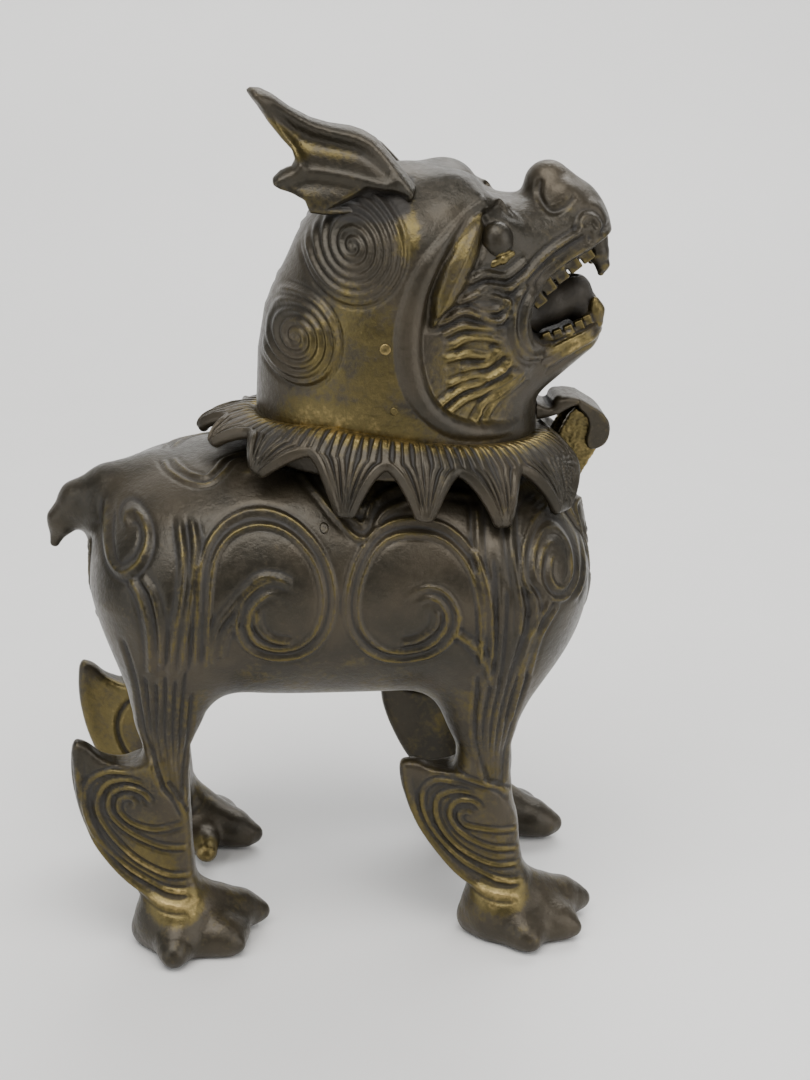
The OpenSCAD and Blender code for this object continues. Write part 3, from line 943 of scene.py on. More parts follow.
NECK_ROWS = np.array([
    # height, back, front, half width
    (100.0, -14.6, 42.6, 23.6), (112.0, -14.6, 42.2, 23.4), (122.0, -14.3, 41.0, 22.8),
    (130.0, -13.0, 39.5, 22.2), (137.0, -10.2, 38.0, 21.2), (144.0, -6.6, 36.0, 19.6),
    (151.0, -2.2, 33.0, 17.0), (158.0, 3.0, 29.0, 13.0),
])
MOUTH = [
    (38.0, 130.6), (38.8, 134.0), (41.2, 137.6), (44.2, 140.0), (47, 141.8), (50, 143.4),
    (52.3, 145), (56, 147), (64, 150), (64, 136), (57, 131), (53.6, 129.0), (50.7, 127.4),
    (47.5, 126.4), (44, 125.0), (41.4, 125.4), (39.0, 127.4),
]
JAW_CUT = [(37.0, 108), (37.0, 125), (40.0, 130.0), (70, 140), (70, 108)]


def tube(p, grow=0.0, top=150.0):
    """The neck, an oval tube that leans and narrows with height."""
    z = np.clip(p[2], 100, 158)
    back, front, half = (np.interp(z, NECK_ROWS[:, 0], NECK_ROWS[:, i]) for i in (1, 2, 3))
    rx, ry = (front - back) / 2 + grow, half + grow
    u, v = (p[0] - (front + back) / 2) / rx, p[1] / ry
    g = u * u + v * v - 1
    d = g / (2 * np.sqrt((u / rx) ** 2 + (v / ry) ** 2) + 2e-3)
    return smooth_max(d, p[2] - top - grow, 5.0)


def jaw(p):
    return merge(
        limb(p, (35, -6.5, 117.2), (49.6, -4.6, 125.5), 6.6, 3.9),
        (limb(p, (35, 0, 116.6), (50.8, 0, 126.0), 6.4, 4.1), 3.0),
        (egg(p, (51.4, 0, 126.8), (3.4, 6.6, 3.6)), 1.6),
    )


def muzzle(p):
    nose = limb(p, (43.0, 0, 154.9), (47.6, 0, 151.2), 4.8, 5.0)
    nose = smooth_min(nose, egg(p, (44.8, -4.2, 153.2), (4.0, 3.2, 3.4)), 1.8)
    return merge(
        limb(p, (28, -5.5, 141), (48.5, -4.4, 145.6), 11.0, 6.0),
        (limb(p, (28, 0, 141.4), (49, 0, 147.2), 10.8, 6.4), 4.0),
        (nose, 3.2), (ball(p, (50.4, -4.6, 149.6), 2.7), 1.6),
    )


def brow(p):
    d = egg(p, (23.2, -6.6, 152.5), (6.8, 6.6, 6.4))
    ridge = chain(p, [(22, -11.5, 150.8, 4.2), (27, -11.2, 152.4, 2.6), (31.4, -9.6, 152.6, 1.4)])
    return smooth_min(d, ridge, 3.0)


def head_outside(p):
    skull = egg(p, (15.4, 0, 141), (19.2, 19.6, 18.2))
    cheek = egg(p, (27.5, -9.5, 130), (13.5, 9.6, 17))
    socket = egg(p, (31.2, -11.2, 146.6), (5.4, 4.0, 5.0))
    lips = limb(p, (38.2, -8.6, 126.4), (37.2, -9.6, 133.0), 4.6, 4.6)
    return merge(
        tube(p), (skull, 6.0), (cheek, 6.0), (brow(p), 3.0), (muzzle(p), 3.4), (socket, 2.0),
        (jaw(p), 2.6), (lips, 3.0),
    )


def head_hollow(p):
    inner = smooth_min(tube(p, -WALL, 146), egg(p, (13, 0, 141), (18.6, 16.4, 15)), 5.0)
    throat = limb(p, (44, 0, 132.5), (20, 0, 130), 5.0, 9.0)
    scoop = egg(p, (42.5, 0, 131.4), (12.6, 6.0, 6.4))
    wedge = smooth_max(outline(p[0], p[2], MOUTH), np.abs(p[1]) - 20, 0.5)
    roof = egg(p, (44, 0, 139.6), (8.6, 5.0, 4.6))
    return merge(inner, (throat, 1.5), (wedge, 0.8), (scoop, 0.8), (roof, 0.8))


def head_field(p):
    d = smooth_max(head_outside(p), -head_hollow(p), 0.8)
    return smooth_max(d, NECK_BOTTOM - p[2], 0.4)


BAND_OUTER = [
    (28.4, 155.2), (24.4, 152.8), (19.6, 148.8), (14.4, 143), (11.4, 135), (10.6, 128),
    (12, 120), (16, 114), (21, 110.4), (27, 108.8), (38, 107.8),
]
BAND_INNER = [
    (29.6, 153.0), (26, 151), (21.4, 146.6), (17.6, 140), (15.8, 133), (15.6, 126),
    (17.4, 119), (20.6, 115), (25.4, 112.2), (30.5, 111), (38, 110.2),
]
LEAF = [
    (27.7, 152.4), (28.6, 149.8), (27.4, 145.1), (25.2, 140.1), (22.3, 135.4),
    (18.0, 131.4), (18.2, 137.4), (20.4, 143.6), (23.4, 148.6), (25.6, 151.3),
]
# Outline of the painted shadow under the ear.
UNDER_EAR_SHADE = [(-6, 150.4), (-4, 154), (3, 158), (15.6, 158), (14.0, 152.6), (9, 150.8), (2, 150.2)]
FACE_MARKS = [
    ("fold", 0.9, [(24.5, 139.6), (29, 141.2), (33, 140.4), (37.4, 143)]),
    ("fold", 1.0, [(25.5, 137.4), (30.5, 138.7), (34, 138), (38, 140.8), (42, 144.2),
                   (49, 148)]),
    ("fold", 0.9, [(22.6, 135.6), (26.4, 137), (30.4, 137), (33.4, 135.4), (31, 134),
                   (27, 134.2)]),
    ("fold", 1.0, [(17.6, 131.4), (21, 132.6), (24.4, 134.2), (28, 133), (31.6, 131.8),
                   (33.6, 133.4), (34, 137)]),
    ("fold", 0.8, [(20, 129.6), (24, 131.2), (27.6, 130.8), (31.4, 130.2)]),
    ("fold", 0.8, [(22, 127), (25, 128.8), (29, 128.8), (33, 127.4)]),
    ("fold", 0.9, [(20.6, 124.8), (25.6, 125.6), (29.8, 124.8), (32.4, 126.6)]),
    ("fold", 0.8, [(24, 122.4), (29.4, 123.2), (33, 125.6)]),
    ("fold", 1.0, [(21.4, 119.6), (26.6, 121), (30.6, 120.8), (35, 123.6)]),
    ("fold", 1.0, [(19.6, 115.6), (24.6, 118.8), (29.6, 119.6), (34.4, 122)]),
    ("fold", 0.8, [(21.4, 114.2), (26, 116.8), (31.6, 118.2), (36, 121)]),
    ("fold", 1.0, [(27.4, 111.6), (29.8, 115), (33.4, 117.8), (37.4, 121)]),
    ("fold", 0.8, [(30, 112.6), (33, 116.2), (38, 119.8)]),
    ("fold", 0.8, [(37.4, 139), (35.2, 135), (34.8, 129.4), (36.8, 125), (40, 122.6)]),
    ("cord", 0.8, [(38.6, 136.6), (37, 133), (36.8, 128.6), (38.8, 124.6), (42, 122.4)]),
    ("fold", 0.7, [(39.6, 136.4), (42.3, 139.6), (45.7, 142.4), (49.2, 144.4), (52.4, 146),
                   (56, 147.4)]),
    ("groove", 0.7, [(38, 139.6), (42.6, 143.4), (47, 146), (51, 147.6)]),
    ("groove", 0.9, [(40.8, 157), (40.4, 153.6), (42.4, 151.2), (45.2, 152), (47.6, 154)]),
    ("fold", 0.8, [(48.6, 147.4), (48.2, 149), (49.2, 150.2), (51, 149.8), (52, 148.2),
                   (51, 147.0), (50, 148)]),
    ("fold", 0.8, [(41.4, 120.4), (45.9, 122.7), (49.1, 124.3), (52.2, 125.6), (55.4, 127)]),
    ("fold", 0.6, [(42, 122.6), (46.4, 124.6), (50, 126), (53, 127.4), (55.6, 128.8)]),
]


def inside(points, shape, soft=0.5):
    """1 within a side-view outline, fading to 0 across its edge."""
    d = outline(points[:, 0], points[:, 2], shape)
    return 1 - ramp(d, -soft, soft), d


def dress_head(points, normals):
    """Height and shine of everything chased into the head."""
    relief, shine = chase(points, normals, FACE_MARKS)
    side = ramp(np.abs(normals[:, 1]), 0.12, 0.35)
    q = points[:, [0, 2]]
    outer, inner = curve(BAND_OUTER), curve(BAND_INNER)
    ring = np.vstack([outer, inner[::-1]])[::3]
    band, depth = inside(points, [tuple(v) for v in ring], 0.4)
    face = np.vstack([inner, [(70, 108), (70, 160), (38, 158)]])[::3]
    far = outline(q[:, 0], q[:, 1], [tuple(v) for v in face])
    fade = 1 - ramp(points[:, 0], 30, 38)
    high = relief + (0.9 * np.sqrt(np.clip(-depth, 0, 1.8) / 1.8) * band) * side * fade
    high -= 1.3 * ramp(-far, 0, 0.9) * side * fade
    leaf, deep = inside(points, LEAF, 0.3)
    ridge, _ = line_distance(q, curve([(27.4, 151), (24.4, 144.6), (21.4, 138.6), (18.4, 132)]))
    high += leaf * (1.0 + 1.1 * np.exp(-ridge / 1.6) - 0.9 * bump(deep, 0, 0.6)) * side
    high -= 0.45 * bump(deep, 0.7, 0.6) * side * fade
    for middle, radii, turns, way in (
        ((3.2, 146.2), (9.1, 10.4), 6.2, -1), ((-7.4, 128.0), (7.6, 8.9), 5.2, -1)
    ):
        h, s = spiral(points, normals, middle, radii, turns, 0.5, way)
        high, shine = high + h, np.maximum(shine, 0.25 * s)
        relief = relief + np.minimum(h, 0)
    return high, relief, shine, band, leaf


def head_gold(points, band, leaf):
    """Where hands have rubbed the head through to brass."""
    neck = (1 - band) * rubbed(
        points,
        (0.52, (-1, -22, 111), (22, 12, 7.0)),
        (0.38, (4, -20, 124), (11, 14, 15)),
        (0.36, (26, -17, 119), (11, 10, 12)),
        (0.42, (13.2, -15, 148), (2.6, 9, 7)),
    )
    lips = rubbed(
        points, (0.45, (47, -6, 124.6), (8, 6, 2.6)), (0.2, (46, -8, 142.6), (7, 6, 2.2)))
    return np.maximum.reduce([neck, 0.34 * leaf, lips])


def build_head():
    low, high = np.array([-18.0, -27, 100.0]), np.array([60.0, 27, 163.0])
    points, quads, normals = sculpt(head_field, low, high, HEAD_STEP)
    folded = fold(tuple(points.T))
    inner = (head_hollow(folded) > -0.5) & (head_outside(folded) < -0.5)
    relief, lines, shine, band, leaf = dress_head(points, normals)
    worn, dirty = edge_shine(head_field, points)
    relief = np.where(inner, 0, relief)
    points = points + normals * relief[:, None]
    shown = corner_normals(points, quads)
    smooth_side = ramp(np.abs(normals[:, 1]), 0.1, 0.4)
    gold = head_gold(points, band, leaf)
    wear = np.clip(0.36 * shine + 0.12 * worn + gold * smooth_side, 0, 1)
    wear = np.where(inner, 0.1, wear)
    sunk = np.clip(-1.3 * lines, 0, 1)
    grime = np.clip(sunk + 0.7 * dirty + 0.3 * band * smooth_side, 0, 1)
    # Painted shadow under the ear: darker there, and less rubbed brass.
    under_ear_shade, _ = inside(points, UNDER_EAR_SHADE, 1.0)
    wear *= 1 - 0.8 * under_ear_shade * smooth_side
    grime = np.maximum(grime, 0.95 * under_ear_shade * smooth_side)
    # Painted shade: the mouth and the hollow inside the head are made dark.
    grime = np.where(inner, 0.75, grime)
    looks = {"wear": wear, "grime": grime}
    low_jaw = outline(points[:, 0], points[:, 2], JAW_CUT) < 0
    owner = owner_of_quads(quads, low_jaw.astype(int))

    for name, k in (("head_shell", 0), ("lower_jaw", 1)):
        make_piece("fd_" + name, points, quads[owner == k], shown, looks, "head",
                   "patina_bronze", [name])


HEAD_STEP = 0.38
build_head()


# ---------------------------------------------------------------- the small pieces

def plain_looks(field, points, wear, grime, rub=0.5):
    worn, dirty = edge_shine(field, points, 0.5)
    return {"wear": wear + rub * worn, "grime": np.clip(grime + 0.8 * dirty, 0, 1)}


def settle_left_ear():
    """The left ear was set a little lower and further forward than the right one."""
    ear = bpy.data.objects["fd_ear_left"]
    move = np.array([2.2, 0.0, -2.6]) * MM
    count = len(ear.data.vertices)
    spots = np.empty(count * 3, np.float32)
    ear.data.vertices.foreach_get("co", spots)
    spots = spots.reshape(-1, 3)
    share = ramp(spots[:, 2] / MM, 148, 160)[:, None]
    ear.data.vertices.foreach_set("co", (spots + move * share).astype(np.float32).reshape(-1))
    ear.data.update()


def small(names, field, low, high, step, body, slot, wear=0.0, grime=0.0, rub=0.3, dress=None):
    """One piece, or a right and a left one, from a field."""
    points, quads, normals = sculpt(field, low, high, step)
    looks = plain_looks(field, points, wear, grime, rub)
    if dress is not None:
        points, looks = dress(points, normals, looks)
        normals = corner_normals(points, quads)
    right = points[quads].mean(1)[:, 1] < 0
    parts = [np.ones(len(quads), bool)] if len(names) == 1 else [right, ~right]
    for name, keep in zip(names, parts):
        make_piece("fd_" + name, points, quads[keep], normals, looks, body, slot, [name])


def pair(name):
    return [name + "_right", name + "_left"]


EAR = [
    (13.9, 152.0), (15.5, 156.6), (13.1, 159.6), (10.6, 162.4), (8.3, 164.8), (6.0, 166.1),
    (3.5, 166.9), (-0.8, 167.5), (-4.3, 168.5), (-8.3, 170.5), (-11.5, 172.8),
    (-13.9, 173.9), (-15.8, 174.0), (-16.7, 173.4), (-14.8, 171.0), (-12.5, 167.4),
    (-10.1, 164.6), (-8.0, 162.6), (-7.5, 161.1), (-8.2, 160.0), (-10.3, 159.3),
    (-11.9, 157.9), (-12.0, 156.6), (-10.6, 155.6), (-8.6, 154.7), (-6.2, 153.4),
    (-5.2, 151.0), (-1.9, 150.7), (1.6, 151.0), (7.1, 150.9), (12.0, 151.6),
]
EAR_RIM = [(14.4, 155.6), (11.0, 160.1), (6.8, 164.2), (2.0, 165.7), (-3.8, 167.0),
           (-8.9, 169.6), (-14.8, 173.2)]
EAR_BACK = [(-14.8, 172.0), (-11.3, 167.3), (-8.5, 163.7), (-6.7, 160.9)]
EAR_FOLD = [(-10.7, 158.0), (-5.7, 159.7), (-0.8, 159.4), (4.6, 158.5), (9.5, 157.1)]
# The pocket at the ear's root: sunk into the face, and painted dark as shade.
EAR_POCKET = [
    (-1.4, 152.2), (2.8, 154.6), (6.3, 156.4), (10.4, 155.9), (13.6, 155.2), (12.8, 152.6),
    (7, 151.9), (2, 151.9),
]


def ear_face(p):
    """The ears lean together like a roof and meet at their tips."""
    lean = 11.6 * ramp(p[2], 147.5, 170.5) + 0.045 * (14 - p[0])
    return -16.2 + lean + 3.2 * (1 - ramp(p[2], 147.0, 156.0))


def ear_height(p):
    """How far the ear's face stands out from its flat middle."""
    q = np.stack([p[0].reshape(-1), p[2].reshape(-1)], 1)
    h = np.full(len(q), -0.9)
    for dots, tall, wide in ((EAR_RIM, 2.7, 2.0), (EAR_BACK, 1.7, 1.3), (EAR_FOLD, 2.1, 1.9)):
        h += tall * np.exp(-(line_distance(q, curve(dots, 2.0))[0] / wide) ** 2)
    h = h.reshape(p[0].shape)
    pocket = 1 - ramp(outline(p[0], p[2], EAR_POCKET), -1.2, 0.6)
    return h - 1.5 * pocket


def ear_field(p):
    front = ear_face(p) - ear_height(p) - p[1]
    back = p[1] - ear_face(p) - 1.9 - 1.2 * ramp(p[0], -8, 8)
    plate = smooth_max(front, back, 1.2) * 0.86
    return smooth_max(outline(p[0], p[2], EAR), plate, 1.5)


def dress_ear(points, normals, looks):
    q = points[:, [0, 2]]
    face = ramp(np.where(points[:, 1] < 0, -normals[:, 1], normals[:, 1]), 0.0, 0.4)
    near_rim = line_distance(q, curve(EAR_RIM, 2.0))[0]
    near_fold = line_distance(q, curve(EAR_FOLD, 2.0))[0]
    valley = ramp(np.minimum(near_rim, near_fold + 0.8), 1.6, 3.4) * ramp(-q[:, 0], -7, 1)
    valley *= 0.35 + 0.65 * ramp(q[:, 1], 157.5, 160.5)
    pocket, _ = inside(points, EAR_POCKET, 0.8)
    looks["wear"] = np.clip(0.25 * looks["wear"] + 0.36 * valley * face, 0, 1)
    # Half the crease dirt, plus a painted shadow in the pocket at the ear's root.
    looks["grime"] = np.clip(looks["grime"] * 0.5 + pocket * face * 0.9, 0, 1)
    return points, looks


def tooth(p, at, size, tilt):
    """A blunt tooth turned by tilt in the side view."""
    c, s, eased = math.cos(tilt), math.sin(tilt), 0.4
    x, y, z = (p[i] - at[i] for i in range(3))
    turned = (x * c + z * s, y, -x * s + z * c)
    q = [np.abs(v) - half + eased for v, half in zip(turned, size)]
    far = np.sqrt(sum(np.maximum(v, 0) ** 2 for v in q))
    return far + np.minimum(np.maximum(q[0], np.maximum(q[1], q[2])), 0) - eased


def tooth_row(p, places, size, tilt, gum):
    teeth = [tooth(p, at, size, math.radians(tilt)) for at in places]
    return smooth_min(np.minimum.reduce(teeth), chain(p, gum), 0.4)


UPPER_TEETH = [
    (40.2, -9.7, 134.2), (42.1, -9.4, 136.8), (44.5, -8.9, 138.9), (47.1, -8.2, 140.8),
    (49.8, -7.1, 142.5),
]
LOWER_TEETH = [
    (43.0, -6.8, 125.4), (45.2, -6.8, 126.0), (47.4, -6.5, 126.8), (49.6, -5.9, 127.6),
    (51.4, -4.8, 128.4),
]


def upper_teeth(p):
    gum = [(40, -9.6, 136, 1.0), (44.4, -8.8, 140.4, 1.0), (50.4, -6.8, 144, 1.0)]
    return tooth_row(p, UPPER_TEETH, (1.42, 1.1, 1.5), 38, gum)


def lower_teeth(p):
    gum = [(42, -7.0, 124.8, 0.9), (47.4, -6.8, 126, 0.9), (51.6, -4.8, 127.8, 0.9)]
    tusk = [(53.2, -3.9, 128.0, 1.6), (53.2, -4.0, 130.4, 1.4), (52.8, -4.0, 132.2, 0.9)]
    return smooth_min(
        tooth_row(p, LOWER_TEETH, (0.95, 0.9, 1.3), 24, gum), chain(p, tusk), 0.4)


def fang(p):
    return chain(p, [
        (52.2, -4.8, 144.8, 2.5), (52.8, -5.0, 142.2, 2.1), (53.7, -5.1, 139.9, 1.4),
        (53.5, -5.1, 138.3, 0.7),
    ], 0.6)


def tongue(p):
    d = chain(p, [
        (28, 0, 125, 4.6), (38, 0, 128.6, 4.8), (44.6, 0, 131.2, 4.2), (49.0, 0, 133.0, 3.5),
        (51.2, 0, 129.4, 2.8),
    ], 2.0)
    d = smooth_min(d, egg(p, (51.6, 0, 129.6), (2.5, 4.4, 3.7)), 1.2)
    d = smooth_max(d, -limb(p, (36, 0, 134.6), (49, 0, 137.0), 1.5, 1.0), 1.2)
    return np.maximum(d, -head_field(p) + 0.15)


def eye(p):
    pupil = ball(p, (31.6, -18.2, 147.0), 0.8)
    return smooth_max(egg(p, (31.0, -13.5, 146.6), (3.3, 3.1, 3.7)), -pupil, 0.7)


def eyelid(p):
    d = chain(p, [
        (28.6, -14.8, 142.1, 0.5), (30.0, -15.6, 142.5, 0.7), (32.0, -15.9, 143.4, 0.8),
        (33.9, -15.2, 144.4, 0.6),
    ], 0.8)
    return smooth_max(d, p[2] - 146.0, 0.2)


def eye_field(p):
    return smooth_min(eye(p), eyelid(p), 0.35)


def dress_eye(points, normals, looks):
    lid = eyelid(fold(tuple(points.T))) < 0.35
    low = ramp(-points[:, 2], -146, -144.5)
    looks["wear"] = np.where(lid, 0.2 + 0.4 * low, 0.15 * looks["wear"] + 0.12)
    looks["grime"] = np.where(lid, 0.0, looks["grime"])
    return points, looks


CHEEK_SHAPE = [
    (46.4, 103.4), (47.6, 106.0), (49.0, 108.6), (50.2, 109.7), (51.6, 109.2), (53.6, 107.2),
    (55.6, 105.2), (56.1, 103.6), (55.2, 101.6), (53.2, 98.0), (51.4, 94.6), (50.0, 91.0),
    (48.8, 86), (45, 86), (46, 97),
]


def bracket_cheek(p):
    d = smooth_max(outline(p[0], p[2], CHEEK_SHAPE), np.abs(p[1] + CHEEK_Y) - CHEEK_T / 2, 0.5)
    d = np.maximum(d, BORE_R - off_axis(p, PIN_X, PIN_Z))
    return np.maximum(d, -np.minimum(barrel(p), chest(p)) + 0.05)


def bracket_back(p):
    d = smooth_max(outline(p[0], p[2], CHEEK_SHAPE), np.abs(p[1]) - CHEEK_IN + 0.05, 0.3)
    d = smooth_max(d, 6.2 - off_axis(p, PIN_X, PIN_Z), 0.3)
    d = smooth_max(d, p[2] - 98.0, 0.4)
    return np.maximum(d, -np.minimum(barrel(p), chest(p)) + 0.05)


def hinge_pin(p):
    return smooth_max(off_axis(p, PIN_X, PIN_Z) - PIN_R, np.abs(p[1]) - CHEEK_OUT, 0.3)


STRAP_EDGE = [
    (46.0, 111.6), (48.0, 112.4), (50.7, 112.1), (52.6, 110.9), (55.3, 109.3), (56.9, 107.6),
    (57.4, 105.8), (57.2, 103.7), (56.4, 102.2), (55.0, 101.4), (53.8, 101.2),
]
STRAP_PLATE = [(36, 107.6), (36, 112.6), (41.5, 111.4), (44.4, 110.1), (45.3, 110.3)] + (
    STRAP_EDGE[:6]) + [(55.2, 107.2), (53.4, 108.6), (51.8, 110.0), (50.0, 110.5),
                       (48.2, 109.6), (46.2, 108.4), (42, 107.4)]
STRAP_FLANGE = STRAP_EDGE[2:] + [
    (52.6, 101.7), (52.4, 103.6), (52.9, 105.6), (52.7, 107.4), (51.9, 108.8), (50.2, 110.4),
]
STRAP_STEM = [(51.4, 106), (51.4, 111.2), (55.3, 109.0), (56.8, 107.4), (57, 105)]


def hinge_strap(p):
    wide, off = np.abs(p[1]), off_axis(p, PIN_X, PIN_Z)
    knuckle = np.minimum(off - 3.4, outline(p[0], p[2], STRAP_STEM))
    knuckle = smooth_max(knuckle, wide - CHEEK_IN + 0.3, 0.3)
    crown = smooth_max(outline(p[0], p[2], rounded(STRAP_PLATE)), wide - CHEEK_OUT - 0.95, 1.4)
    side = outline(p[0], p[2], rounded(STRAP_FLANGE))
    flange = smooth_max(side, np.abs(wide - CHEEK_OUT - 0.6) - 0.45, 0.6)
    curl = limb(p, (46.9, -3, 110.9), (46.9, 3, 110.9), 1.5, 1.5)
    crown = smooth_min(crown, curl, 0.5)
    knuckle = np.maximum(knuckle, 1.05 - off)
    d = np.minimum(np.minimum(knuckle, flange), crown)
    return np.maximum(d, -head_field(p) + 0.1)


def rough_cast(points, normals, looks):
    """Pits and tool marks in the rough brass of the bracket."""
    x, y, z = (points * 1.9).T
    wave = np.sin(x * 1.7 + 2.1 * np.sin(z * 1.3)) * np.sin(z * 2.3 + 1.7 * np.sin(x * 0.9 + y))
    looks["grime"] = np.clip(looks["grime"] + 0.5 * ramp(-wave, 0.35, 0.9), 0, 1)
    return points + normals * (0.09 * wave)[:, None], looks


def build_small():
    ear_low, ear_high = (-20, -22, 146), (18, 0, 177)
    small(pair("ear"), ear_field, ear_low, ear_high, 0.34, "head", "patina_bronze",
          dress=dress_ear)
    settle_left_ear()
    mouth_low, mouth_high = (26, -12, 116), (58, 0, 148)
    small(["upper_teeth"], upper_teeth, mouth_low, mouth_high, 0.2, "head", "worn_brass",
          wear=-0.24, rub=0.2)
    small(["lower_teeth"], lower_teeth, mouth_low, mouth_high, 0.2, "head", "worn_brass",
          wear=-0.22, rub=0.3)
    small(pair("fang"), fang, mouth_low, mouth_high, 0.2, "head", "patina_bronze")
    # The tongue is made dark: partly its own tone, partly painted shade inside the mouth.
    small(["tongue"], tongue, mouth_low, mouth_high, 0.3, "head", "patina_bronze", grime=0.6)
    small(pair("eye"), eye_field, (26, -18, 141), (36, 0, 152), 0.2, "head", "patina_bronze",
          dress=dress_eye)
    low, high = (40, -9, 82), (60, 0, 116)
    small(pair("bracket_cheek"), bracket_cheek, low, high, 0.22, "body", "worn_brass",
          wear=0.1, rub=0.1, dress=rough_cast)
    small(["bracket_back"], bracket_back, low, high, 0.25, "body", "worn_brass",
          grime=0.3, dress=rough_cast)
    small(["hinge_pin"], hinge_pin, low, high, 0.2, "body", "worn_brass", grime=0.2)
    small(["hinge_strap"], hinge_strap, (34, -10, 96), (60, 0, 116), 0.24, "head",
          "patina_bronze", rub=0.12)


LOCKS = [40, 63, 87, 109, 138, 161, 180]
NOTCH = 0.45
HALF_SHEET = 1.15
HAIR_PITCH = 3.3


def collar_spots(turn, along):
    """Points on the mane collar. turn is the angle about the neck from the front, and
    along goes from 0 at the neck to 1 at a lock's tip."""
    c, s = np.cos(turn), np.sin(turn)
    neck = np.stack([NECK_X - 0.2 + 28.0 * c, 23.0 * s], -1)
    tip = np.stack([NECK_X + 39.3 * c, 32.6 * s], -1)
    out = 1 - (1 - along) ** 1.6
    flat = neck + (tip - neck) * out[..., None]
    far_side = ramp(s, -0.05, 0.3)
    top = 111.4 - 0.135 * neck[..., 0] - 3.2 * ramp(-c, 0.45, 1.0)
    top = top - 3.4 * ramp(-c, 0.2, 0.8) * far_side
    low = 94.4 + 3.4 * ramp(-c, -0.55, 0.1) + 8.2 * ramp(-c, 0.35, 0.95)
    low = low - 1.6 * ramp(-c, 0.5, 0.9) * far_side
    high = top - (top - low) * np.maximum(along, 0) ** 1.5
    return np.concatenate([flat, high[..., None]], -1)


def grid_normals(p):
    du = np.roll(p, -1, 0) - np.roll(p, 1, 0)
    dv = np.gradient(p, axis=1)
    n = np.cross(du, dv)
    return n / np.maximum(np.linalg.norm(n, axis=2, keepdims=True), 1e-9)


def build_collar():
    count, rows, round_rows, under = 1320, 44, 7, 14
    turn = np.arange(count) * 2 * math.pi / count
    degrees = np.degrees(np.minimum(turn, 2 * math.pi - turn))
    tips = np.array([-LOCKS[0]] + LOCKS + [360 - LOCKS[-2]], float)
    spot = np.searchsorted(tips, degrees)
    low, high = tips[spot - 1], tips[spot]
    half = (high - low) / 2
    near = np.minimum(degrees - low, high - degrees) / half
    near_low = (degrees - low) < (high - degrees)
    point = np.minimum(1, (1 - near) / 0.88) ** 1.7
    notch = 0.06 + (NOTCH - 0.06) * ramp(degrees, 9, 24)
    reach = notch + (1 - notch) * point
    share = np.linspace(-0.06, 1, rows)
    along = share[None, :] * reach[:, None]
    grid_turn = np.repeat(turn[:, None], rows, 1)
    skin = collar_spots(grid_turn, along)
    out = grid_normals(skin)
    if out[0, -1, 0] < 0:
        out = -out
    # hair lines run down from the neck and gather towards each lock's tip
    fill = 1 - 0.88 * np.clip((along - notch[:, None]) / (1 - notch[:, None]), 0, 1) ** (1 / 1.7)
    across = near[:, None] / np.maximum(fill, 0.12)
    number = np.where(near_low, spot - 1, spot)[:, None]
    phase = across * half[:, None] / HAIR_PITCH + 0.37 * number
    wobble = 0.35 * np.sin(along * 9 + 5 * number + 3 * np.floor(phase))
    hair = np.abs((phase + 0.25 * wobble) % 1 - 0.5) * 2
    start = ramp(along, 0.03 + 0.04 * np.sin(7 * np.floor(phase)), 0.16)
    rim = 1 - ramp(across, 0.72, 0.95) * ramp(along, 0.35, 0.55)
    end = 1 - ramp(share, 0.86, 0.97)[None, :]
    cut = ramp(hair, 0.45, 0.95) * start * rim * end
    thick = HALF_SHEET * ramp(along, -0.03, 0.2)
    lip = 0.35 * ramp(across, 0.7, 0.92) * ramp(along, 0.4, 0.6) * ramp(share, 0.3, 0.6)[None, :]
    front = skin + out * (thick + lip - 0.5 * cut)[..., None]
    edge = skin[:, -1]
    run = np.roll(edge, -1, 0) - np.roll(edge, 1, 0)
    away = np.cross(run, out[:, -1])
    away /= np.linalg.norm(away, axis=1, keepdims=True)
    down = edge - skin[:, -4]
    away *= np.sign((away * down).sum(1))[:, None]
    rolled = []
    for k in range(1, round_rows + 1):
        a = math.pi * k / (round_rows + 1)
        push = HALF_SHEET * math.sin(a) * away + HALF_SHEET * math.cos(a) * out[:, -1]
        rolled.append((edge + push)[:, None])
    back_share = np.linspace(1, 0.1, under)
    back_along = back_share[None, :] * reach[:, None]
    back = collar_spots(np.repeat(turn[:, None], under, 1), back_along)
    facing = grid_normals(back)
    facing = facing * np.sign((facing * out[:, -1:]).sum(2, keepdims=True))
    back = back - facing * HALF_SHEET
    sheet = np.concatenate([front] + rolled + [back], 1)
    total = sheet.shape[1]
    points = sheet.reshape(-1, 3)
    i = np.repeat(np.arange(count), total - 1)
    j = np.tile(np.arange(total - 1), count)
    k = (i + 1) % count
    quads = np.stack([i * total + j, k * total + j, k * total + j + 1, i * total + j + 1], 1)
    normals = corner_normals(points, quads)
    wear = np.zeros((count, total))
    wear[:, :rows] = 0.68 * (1 - ramp(along, 0.14, 0.38)) * (1 - cut) + 0.1 * (1 - cut) * end
    wear[:, :rows] *= (0.35 + 0.65 * ramp(np.abs(np.sin(turn)), 0.1, 0.6))[:, None]
    grime = np.zeros((count, total))
    grime[:, :rows] = 0.85 * cut
    grime[:, rows + round_rows:] = 0.6
    looks = {"wear": wear.reshape(-1), "grime": grime.reshape(-1)}
    make_piece("fd_mane_collar", points, quads, normals, looks, "head", "patina_bronze",
               ["mane_collar"])


